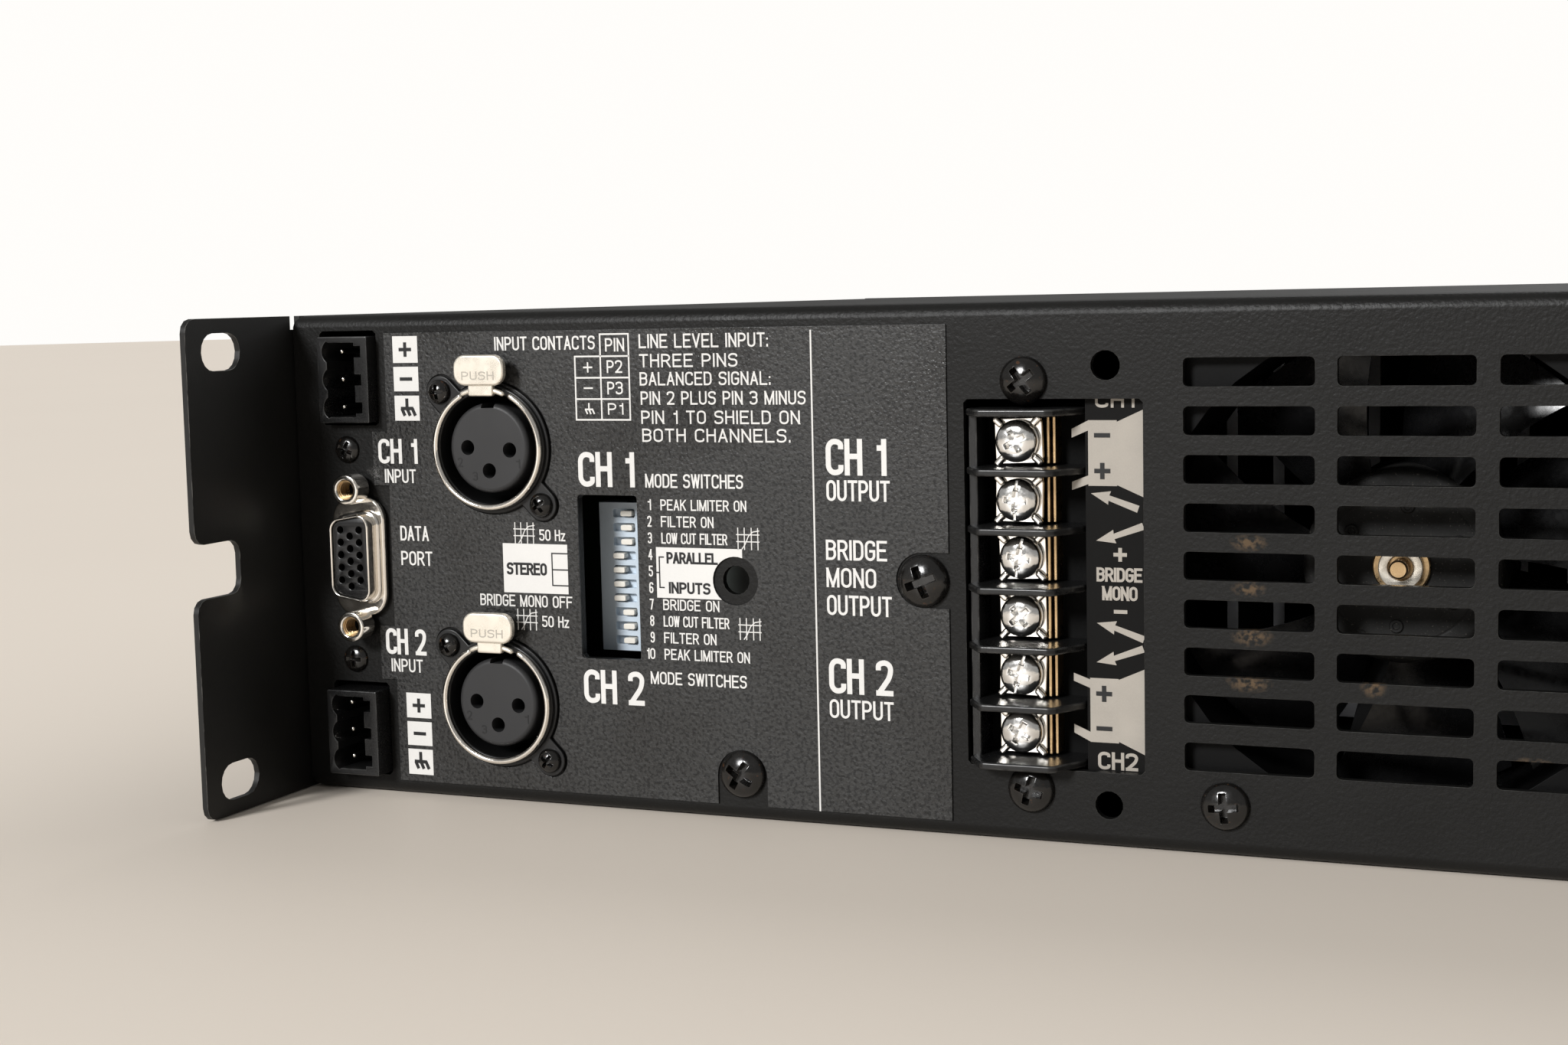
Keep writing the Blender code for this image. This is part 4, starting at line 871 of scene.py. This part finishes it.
def xlr_socket(number, heads):
    name = "xlr_%d_" % number
    u, v = middle_of(name + "insert")
    bore = circle((u, v), SOCKET_BORE, 96)
    housing = plate([flange_outline((u, v), FLANGE_RADIUS, LOBE_RADIUS), bore], 0.36, 0.95, 0.2, 3)
    join(housing, plate([circle((u, v), 11.2, 96), bore], 0.4, 1.7, 0.3, 3))
    join(housing, plate([circle((u, v), 10.8, 96), bore], -21.0, 0.6, 0.1))
    join(housing, plate([circle((u, v), 10.4, 64)], -21.4, -20.4, 0.1))
    piece(name + "housing", housing, SHELL_PLASTIC, stands_for=(name + "shell",))

    ring = bmesh.new()
    add_bead(ring, (u, v), RING_RADIUS, 2.2, 0.55, 119.0, 421.0)
    piece(name + "rim", ring, NICKEL, stands_for=(name + "ring",))

    body = bmesh.new()
    rim = [(7.1 + 0.9 * math.cos(t), 0.7 + 0.9 * math.sin(t)) for t in (0.0, 0.4, 0.8, 1.2, 1.57)]
    add_turned(body, [(8.0, -18.0)] + rim + [(0.05, 1.6)], (u, v), 64)
    cutter = bmesh.new()
    for du, dv in CONTACTS:
        add_prism(cutter, circle((u + du, v + dv), CONTACT_RADIUS, 28), -7.0, 3.0)
    add_box(cutter, (u - 1.3, v + 7.1, -12.0), (u + 1.3, v + 9.0, 3.0))
    piece(name + "contact_block", carve(body, cutter), INSERT_PLASTIC, stands_for=(name + "insert",))
    # Painted shade: the insert's moulded digits are drawn in dark ink, standing for the shade of their
    # relief.
    digits = bmesh.new()
    for digit, du, dv, cap in (("2", -6.4, -3.4, 1.7), ("1", 5.3, -3.5, 1.6), ("3", -3.4, -5.8, 1.6)):
        lettering(digits, digit, u + du, u + du + 1.0, v + dv, cap, 0.16, 1.58)
    piece(name + "numbers_painted_shade", digits, DARK_INK)

    tab = plate([rounded((u, v + 13.9), (10.1, 5.4), 2.2, 8)], 3.1, 4.45, 0.4, 4)
    join(tab, plate([rounded((u, v + 10.9), (5.0, 3.2), 0.4, 3)], 2.72, 3.9, 0.3, 3))
    add_bead(tab, (u, v), 10.5, 3.12, 0.45, 67.5, 112.5, 20)
    word = bmesh.new()
    lettering(word, "PUSH", u - 3.3, u + 3.2, v + 12.2, 1.5, 0.15, 4.43)
    # Painted shade: the embossed word is drawn darker than the tab.
    piece(name + "push_word", word, SHADED_STAMPING, BODY_OF[name + "latch"], "cream_plastic")
    piece(name + "push_tab", tab, SATIN_NICKEL, stands_for=(name + "latch",))
    for side in (-1, 1):
        place = (u + 10.0 * side, v - 10.0 * side)
        black_screw(name + ("screw_a" if side < 0 else "screw_b"), heads["dome"], place, 2.2, 0.9, 1.7,
                    20.0 * number + 15.0 * side)


def input_header(number):
    """A pluggable header: castellated right wall, scalloped left wall, three pins."""
    name = "input_header_%d" % number
    low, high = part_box(name)
    u, v = middle_of(name)
    back, front_w = (low.y - REAR_Y) / MM, (high.y - REAR_Y) / MM
    half_v = (high.z - low.z) / 2 / MM
    half_u = (high.x - low.x) / 2 / MM
    inner = [(2.5, half_v - 1.1)]
    for dv in (HEADER_PITCH, 0.0, -HEADER_PITCH):
        inner += [(2.5, dv + 1.0), (3.9, dv + 1.0), (3.9, dv - 1.0), (2.5, dv - 1.0)]
    inner += [(2.5, 1.1 - half_v), (-2.9, 1.1 - half_v)]
    for dv in (-HEADER_PITCH, 0.0, HEADER_PITCH):
        inner += arc((-2.0, dv), 2.3, 235, 125, 8)
    inner.append((-2.9, half_v - 1.1))
    outlines = [rounded((u, v), (2 * half_u, 2 * half_v), 0.3, 3), [(u + a, v + b) for a, b in inner]]
    walls = plate(outlines, back, front_w, 0.14)
    floor = bmesh.new()
    reach_u, reach_v = half_u - 0.3, half_v - 0.3
    add_box(floor, (u - reach_u, v - reach_v, back + 0.1), (u + reach_u, v + reach_v, back + 1.2))
    piece(name + "_body", join(walls, floor), BLACK_PLASTIC, stands_for=(name,))
    pins, tips = bmesh.new(), bmesh.new()
    tip = front_w - 3.2
    for dv in (HEADER_PITCH, 0.0, -HEADER_PITCH):
        place = (u - 2.3, v + dv)
        add_turned(pins, [(0.48, back + 1.0), (0.48, tip - 0.5)], place, 20)
        add_turned(tips, [(0.5, tip - 0.55), (0.5, tip - 0.3), (0.36, tip - 0.08), (0.12, tip)], place, 20)
    # Painted shade: the pin shafts are drawn near-black as if shadowed inside the header; only the tips show
    # the nickel.
    piece(name + "_pins", pins, PAINTED_SHADE, slot="black_plastic")
    piece(name + "_pin_tips", tips, NICKEL, slot="nickel")


def d_outline(centre, size, radius):
    """A D-shaped outline, longer on its right side."""
    half_a, half_b = size[0] / 2 - radius, size[1] / 2 - radius
    lean = 2 * half_a * math.tan(D_LEAN)
    corners = [(half_a, half_b), (-half_a, half_b - lean), (-half_a, lean - half_b), (half_a, -half_b)]
    points = [p for a, b in corners for p in circle((centre[0] + a, centre[1] + b), radius, 48)]
    return hull(points)


def data_port(heads):
    u, v = middle_of("data_port_shell")
    flange = [rounded((u, v), (11.0, 22.0), 4.2, 8), d_outline((u, v), (8.0, 15.4), 2.2)]
    shell = plate(flange, 0.3, 1.5, 0.45, 3)
    join(shell, plate([d_outline((u, v), (9.6, 17.2), 2.8), d_outline((u, v), (7.4, 15.0), 1.9)],
                      1.0, 2.2, 0.5, 3))
    join(shell, plate([d_outline((u, v), (8.3, 15.9), 2.2), d_outline((u, v), (7.3, 14.9), 1.8)],
                      1.0, 4.8, 0.22, 3))
    piece("data_port_skirt", shell, NICKEL, stands_for=("data_port_shell",))
    outlines = [d_outline((u, v), (7.1, 14.7), 1.7)]
    for column, shift in ((-1.98, 0.57), (0.0, -0.57), (1.98, 0.57)):
        for row in range(-2, 3):
            outlines.append(circle((u + column, v + shift + 2.29 * row), 0.68, 20))
    face = plate(outlines, -3.0, 4.35, 0.08)
    piece("data_port_face", face, BLACK_PLASTIC, stands_for=("data_port_insulator",))
    # Painted shade: a near-black sheet behind the insulator's holes, where there is only shadow.
    hole_shade = plate([d_outline((u, v), (6.9, 14.5), 1.6)], -3.6, -2.9, 0.05)
    for number in (1, 2):
        name = "data_port_standoff_%d" % number
        place = middle_of(name)
        post = plate([circle(place, 2.75, 40), circle(place, 1.75, 32)], 1.3, 5.3, 0.3, 3)
        piece(name + "_post", post, NICKEL, stands_for=(name,))
        thread = plate([circle(place, 1.76, 32), circle(place, 1.58, 32)], 1.5, 4.9, 0.03)
        for turn in range(7):
            level = 1.6 + 0.46 * turn
            join(thread, plate([circle(place, 1.7, 32), circle(place, 1.42, 32)], level, level + 0.24, 0.05))
        piece(name + "_thread", thread, BRASS, slot="nickel")
        # Painted shade: a dark disc at the floor of the standoff bore.
        add_prism(hole_shade, circle(place, 1.74, 32), 1.3, 1.5)
    piece("data_port_painted_hole_shade", hole_shade, PAINTED_SHADE, slot="black_plastic")
    for number, place in enumerate(((11.2, 63.5), (11.2, 24.8)), 1):
        black_screw("data_port_screw_%d" % number, heads["dome"], place, 2.5, 0.0, 1.3,
                    40.0 + 25.0 * number)


def mode_switch():
    softened("mode_switch_body", BLUE_PLASTIC, 0.12)
    for number in range(1, 11):
        softened("mode_slider_%d" % number, CREAM_PLASTIC, 0.12)


# --- Output terminals ---

CLAMP_SIZE = (8.0, 7.5)
HEAD_RADIUS, HEAD_HEIGHT = 3.45, 2.3
BARRIER_WIDTH = 1.2
FLOOR_LEVEL = -7.0
CONTACT_STRIPS = ((143.35, -2.9), (144.2, -3.5))  # right edge and tip of the brass beside each plate
CLAMP_TURNS = (2, -1, 2, 1, -2, 0)
HEAD_TURNS = (28, 86, 80, 40, 75, 62)
SLOTTED_HEADS = (2, 3, 5)

def saddle(centre, size, top, turn):
    """A square clamp plate with a raised ridge across each corner, round the screw head."""
    bm = plate([rounded((0.0, 0.0), size, 1.0, 4)], -0.9, 0.0, 0.2, 2, flat)
    for corner in range(4):
        ridge = plate([rounded((0.0, 0.0), (1.2, 2.1), 0.55, 5)], -0.3, 0.9, 0.42, 4, flat)
        for vert in ridge.verts:
            vert.co.x, vert.co.y = spun(vert.co.y + 4.45, vert.co.x, 45.0 + 90.0 * corner)
        join(bm, ridge)
    for vert in bm.verts:
        a, b = spun(vert.co.x, vert.co.y, turn)
        vert.co = rear(centre[0] + a, centre[1] + b, top + vert.co.z)
    return bm


def terminals(heads):
    """The barrier strip with its clamp plates and screws, and the brass strips beside them."""
    low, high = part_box("terminal_block")
    left, right = (LEFT_X - high.x) / MM, (LEFT_X - low.x) / MM
    back, fin_top = (low.y - REAR_Y) / MM, (high.y - REAR_Y) / MM
    low_v, high_v = low.z / MM, high.z / MM
    pitch = (high_v - low_v - BARRIER_WIDTH) / 6
    block = bmesh.new()
    add_box(block, (left, low_v, back), (right, high_v, FLOOR_LEVEL))
    cutter = bmesh.new()
    for number in range(1, 7):
        add_prism(cutter, circle(middle_of("terminal_screw_%d" % number), 2.1, 24), back + 1.2, -5.0)
    block = soften(carve(block, cutter), 0.2)
    wall = bmesh.new()
    add_box(wall, (left, low_v, -8.0), (left + 1.5, high_v, -0.5))
    join(block, soften(wall, 0.3))
    fin = [(left, -8.0), (right, -8.0), (right, fin_top - 6.5), (right - 1.8, fin_top - 3.4)]
    fin += arc((right - 4.6, fin_top - 1.8), 1.8, 20, 90, 5)
    fin += arc((left + 3.6, fin_top - 1.2), 1.2, 90, 140, 5)
    fin += [(left, fin_top - 4.5)]

    def upright(u, w, v):
        return rear(u, v, w)

    for index in range(7):
        middle = low_v + BARRIER_WIDTH / 2 + index * pitch
        join(block, plate([fin], middle - BARRIER_WIDTH / 2, middle + BARRIER_WIDTH / 2, 0.35, 3, upright))
    strip = piece("barrier_strip", block, BLACK_PLASTIC, stands_for=("terminal_block",))
    # Painted shade: faces deeper than 6.5 mm behind the panel get the near-black finish, standing for the
    # shadow between the barriers.
    strip.data.materials.append(PAINTED_SHADE)
    for face in strip.data.polygons:
        face.material_index = 1 if face.center.y < REAR_Y - 6.5 * MM else 0
    strips = bmesh.new()
    for number, (tilt, turn) in enumerate(zip(CLAMP_TURNS, HEAD_TURNS), 1):
        screw, clamp = "terminal_screw_%d" % number, "clamp_plate_%d" % number
        u, v = middle_of(clamp)
        plate_top = (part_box(clamp)[1].y - REAR_Y) / MM
        piece(clamp + "_saddle", saddle((u, v), CLAMP_SIZE, plate_top, tilt), NICKEL, stands_for=(clamp,))
        head_top = (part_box(screw)[1].y - REAR_Y) / MM
        shape = heads["slotted" if number in SLOTTED_HEADS else "pan"]
        head = stamp(shape, (u, v), HEAD_RADIUS, head_top - HEAD_HEIGHT, HEAD_HEIGHT, turn)
        add_turned(head, [(1.7, head_top - 11.5), (1.7, head_top - 2.0)], (u, v), 24)
        piece(screw + "_head", head, SCREW_NICKEL, stands_for=(screw,))
        for side, tip in CONTACT_STRIPS:
            join(strips, plate([rounded((side - 0.25, v), (0.5, 7.6), 0.12, 2)], -7.2, tip, 0.1))
    piece("terminal_strips", strips, BRASS, slot="nickel")


# --- Fan ---

BLADE_COUNT = 7


def fan():
    softened("fan_frame", FAN_PLASTIC, 0.4)
    u, v = middle_of("fan_rotor")
    hub = bmesh.new()
    profile = [(15.4, -24.0), (15.4, -10.6), (15.2, -9.8), (14.7, -9.25), (14.0, -9.0), (12.4, -9.0),
               (12.2, -9.15), (11.9, -9.15), (11.7, -9.0), (4.6, -9.0), (0.05, -9.0)]
    add_turned(hub, profile, (u, v), 72)
    for index in range(6):
        centre = polar((u, v), 9.4, math.radians(60.0 * index + 25.0))
        add_turned(hub, [(1.1, -9.1), (1.1, -8.8), (0.95, -8.65), (0.6, -8.65), (0.5, -8.85)], centre, 20)
    piece("fan_hub", hub, HUB_PLASTIC, stands_for=("fan_rotor",))
    blades = bmesh.new()
    for index in range(BLADE_COUNT):
        add_blade(blades, (u, v), 2 * math.pi * index / BLADE_COUNT)
    piece("fan_blades", blades, ROTOR_PLASTIC, body="fan_rotor", slot="fan_plastic")
    disc = bmesh.new()
    add_turned(disc, [(4.4, -9.1), (4.4, -8.3), (4.2, -8.1), (0.05, -8.1)], (u, v), 40)
    add_turned(disc, [(1.45, -8.2), (1.45, -4.9), (1.2, -4.6), (0.05, -4.6)], (u, v), 28)
    piece("fan_shaft_end", disc, BRASS, body="fan_rotor", slot="nickel")
    washer = plate([circle((u, v), 3.4, 40), circle((u, v), 1.9, 28)], -8.1, -7.0, 0.2, 2)
    piece("fan_washer", washer, SATIN_NICKEL, body="fan_rotor", slot="nickel")


def add_blade(bm, centre, start):
    """A curved blade that widens outward, with rounded edges."""
    stations, chords = 10, 14
    there = [j / chords for j in range(chords + 1)]
    sides = [(-1, across) for across in there] + [(1, across) for across in there[::-1]]
    rings = []
    for i in range(stations + 1):
        part = i / stations
        radius = 14.6 + 22.0 * part
        spread = math.radians(40.0 + 4.0 * part)
        ring = []
        for side, across in sides:
            angle = start + spread * (across - 0.5) + math.radians(10.0) * part
            thickness = 0.15 + 0.45 * math.sin(math.pi * (0.08 + 0.84 * across))
            level = -22.5 + 12.5 * across + 1.2 * math.sin(math.pi * across) + side * thickness
            ring.append(bm.verts.new(rear(*polar(centre, radius, math.pi - angle), level)))
        rings.append(ring)
    skin(bm, rings)


# --- Mains inlet and front controls ---

def mains_inlet(heads):
    softened("mains_inlet", BLACK_PLASTIC, 0.35, 3)
    u, v = middle_of("mains_inlet")
    pins = plate([rounded((u, v + 2.0), (2.0, 4.0), 0.4, 3)], -17.0, -2.0, 0.3, 2)
    for side in (-7.0, 7.0):
        join(pins, plate([rounded((u + side, v - 2.0), (2.0, 4.0), 0.4, 3)], -17.0, -3.0, 0.3, 2))
    piece("mains_inlet_pins", pins, NICKEL, slot="nickel")
    for side in (-1, 1):
        black_screw("mains_inlet_screw_%s" % ("a" if side < 0 else "b"), heads["dome"],
                    (u + 20.0 * side, v), 2.9, 2.6, 1.6, 30.0 * side)


SCALE_RADIUS = 17.6
TICK_RADII = (13.6, 15.2)
FLUTES = 18


def gain_knobs():
    """Fluted knobs with a white pointer, and a numbered scale printed round each."""
    print_marks = bmesh.new()

    def print_word(word, left, right, base, cap, weight):
        lettering(print_marks, word, left, right, base, cap, weight, PRINT_LEVEL, front)

    for number in (1, 2):
        name = "gain_knob_%d" % number
        low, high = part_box(name)
        centre = ((low.x + high.x) / 2 / MM, (low.z + high.z) / 2 / MM)
        reach = (FRONT_Y - low.y) / MM

        def flutes(angle, level):
            depth = 0.035 if 4.9 < level < reach - 0.6 else 0.0
            return 1.0 - depth * (0.5 + 0.5 * math.cos(FLUTES * angle)) ** 2

        knob = bmesh.new()
        profile = [(3.0, -14.0), (3.0, 1.0), (12.2, 1.0), (12.5, 1.3), (12.5, 3.4), (12.2, 4.0), (11.2, 4.8),
                   (11.0, 5.0), (10.3, reach - 1.4), (9.9, reach - 0.7), (9.2, reach - 0.2), (8.4, reach),
                   (7.0, reach - 0.35), (0.05, reach - 0.35)]
        add_turned(knob, profile, centre, 144, front, flutes)
        piece(name + "_grip", knob, KNOB_PLASTIC, stands_for=(name,))
        pointer = bmesh.new()
        add_box(pointer, (centre[0] - 0.45, centre[1] + 2.5, reach - 0.4),
                (centre[0] + 0.45, centre[1] + 8.2, reach - 0.02), front)
        soften(pointer, 0.1)
        piece(name + "_pointer", pointer, WHITE_INK, body=BODY_OF[name])
        for step in range(11):
            angle = math.radians(240.0 - 30.0 * step)
            line = [polar(centre, radius, angle) for radius in TICK_RADII]
            add_lines(print_marks, [line], 0.4, PRINT_LEVEL, front)
            x, z = polar(centre, SCALE_RADIUS, angle)
            half = 1.0 if step == 10 else 0.55
            print_word(str(step), x - half, x + half, z - 0.9, 1.8, 0.16)
        print_word("CH %d" % number, centre[0] - 5.0, centre[0] + 5.0, 12.5, 3.6, 0.15)
        for colour, lens, dx in (("red", RED_LENS, -6.0), ("green", GREEN_LENS, 6.0)):
            light = bmesh.new()
            add_turned(light, [(1.6, 0.0), (1.6, 0.4), (1.45, 0.9), (1.0, 1.3), (0.4, 1.5), (0.05, 1.52)],
                       (centre[0] + dx, 73.0), 32, front)
            piece("channel_%d_%s_light" % (number, colour), light, lens)
        print_word("CLIP", centre[0] - 9.0, centre[0] - 3.0, 77.0, 2.0, 0.16)
        print_word("SIGNAL", centre[0] + 1.6, centre[0] + 10.4, 77.0, 2.0, 0.16)
    print_word("POWER", 189.5, 202.5, 20.5, 2.8, 0.15)
    piece("front_print", print_marks, WHITE_INK)


def power_switch():
    softened("rocker_frame", BLACK_PLASTIC, 0.4, 3)
    softened("rocker", BLACK_PLASTIC, 0.5, 3)


def insides():
    """Finishes for the inner pieces, whose CAD shapes are kept."""
    finishes = {"air_filter": FOAM, "main_board": BOARD, "input_board": BOARD, "heatsink": ALUMINIUM,
                "transformer": WINDING, "capacitor_1": SLEEVE, "capacitor_2": SLEEVE}
    for node, finish in finishes.items():
        NODES[node].data.materials.clear()
        NODES[node].data.materials.append(finish)


# --- Studio ---

def studio():
    """A pale floor, a pale room, one large soft key light from the left and a fill from above."""
    bm = bmesh.new()
    bmesh.ops.create_circle(bm, cap_ends=True, segments=96, radius=6.0)
    mesh = bpy.data.meshes.new("floor")
    bm.to_mesh(mesh)
    bm.free()
    mesh.materials.append(FLOOR)
    floor = linked("floor", mesh)
    floor.location.z = -0.0002

    world = bpy.data.worlds.new("room")
    world.use_nodes = True
    tree = world.node_tree
    seen = tree.nodes.new("ShaderNodeLightPath").outputs["Is Camera Ray"]
    mix = tree.nodes.new("ShaderNodeMix")
    mix.data_type = "RGBA"
    mix.inputs[6].default_value = (0.30, 0.297, 0.29, 1.0)
    mix.inputs[7].default_value = (1.0, 0.985, 0.96, 1.0)
    tree.links.new(seen, mix.inputs[0])
    tree.links.new(mix.outputs[2], tree.nodes["Background"].inputs["Color"])
    bpy.context.scene.world = world
    bpy.context.scene.view_settings.view_transform = "Standard"
    for name, towards, angle, power in (("key", (0.27, 0.865, 0.425), 14.0, 3.3),
                                        ("fill", (-0.35, -0.75, 0.6), 50.0, 1.3)):
        data = bpy.data.lights.new(name, "SUN")
        data.angle, data.energy = math.radians(angle), power
        linked(name, data).rotation_euler = Vector(towards).to_track_quat("Z", "Y").to_euler()


CAMERA_PLACE = (-0.029, 0.5173, 0.090)
CAMERA_PAN, CAMERA_TILT, CAMERA_ROLL = (math.radians(turn) for turn in (203.19, 84.21, -1.29))
SENSOR_WIDTH, LENS = 36.0, 51.72


def camera():
    """Looks at the connector panel's left half from its right, slightly above."""
    data = bpy.data.cameras.new("camera")
    data.sensor_width, data.lens = SENSOR_WIDTH, LENS
    data.clip_start = 0.01
    thing = linked("camera", data)
    turned = (Matrix.Rotation(CAMERA_PAN, 4, "Z") @ Matrix.Rotation(CAMERA_TILT, 4, "X")
              @ Matrix.Rotation(CAMERA_ROLL, 4, "Z"))
    thing.matrix_world = Matrix.Translation(CAMERA_PLACE) @ turned
    bpy.context.scene.camera = thing


def main():
    camera()
    heads = {"dome": screw_head(DOME), "pan": screw_head(PAN, 1.35, 0.3, 0.5),
             "slotted": screw_head(PAN, 1.35, 0.3, 0.5, 0.16),
             "countersunk": screw_head(COUNTERSUNK, 1.4, 0.28, 0.6)}
    case(heads)
    overlay()
    control_legends()
    output_legends()
    for number in (1, 2):
        xlr_socket(number, heads)
        input_header(number)
    data_port(heads)
    mode_switch()
    terminals(heads)
    fan()
    mains_inlet(heads)
    gain_knobs()
    power_switch()
    insides()
    studio()


main()
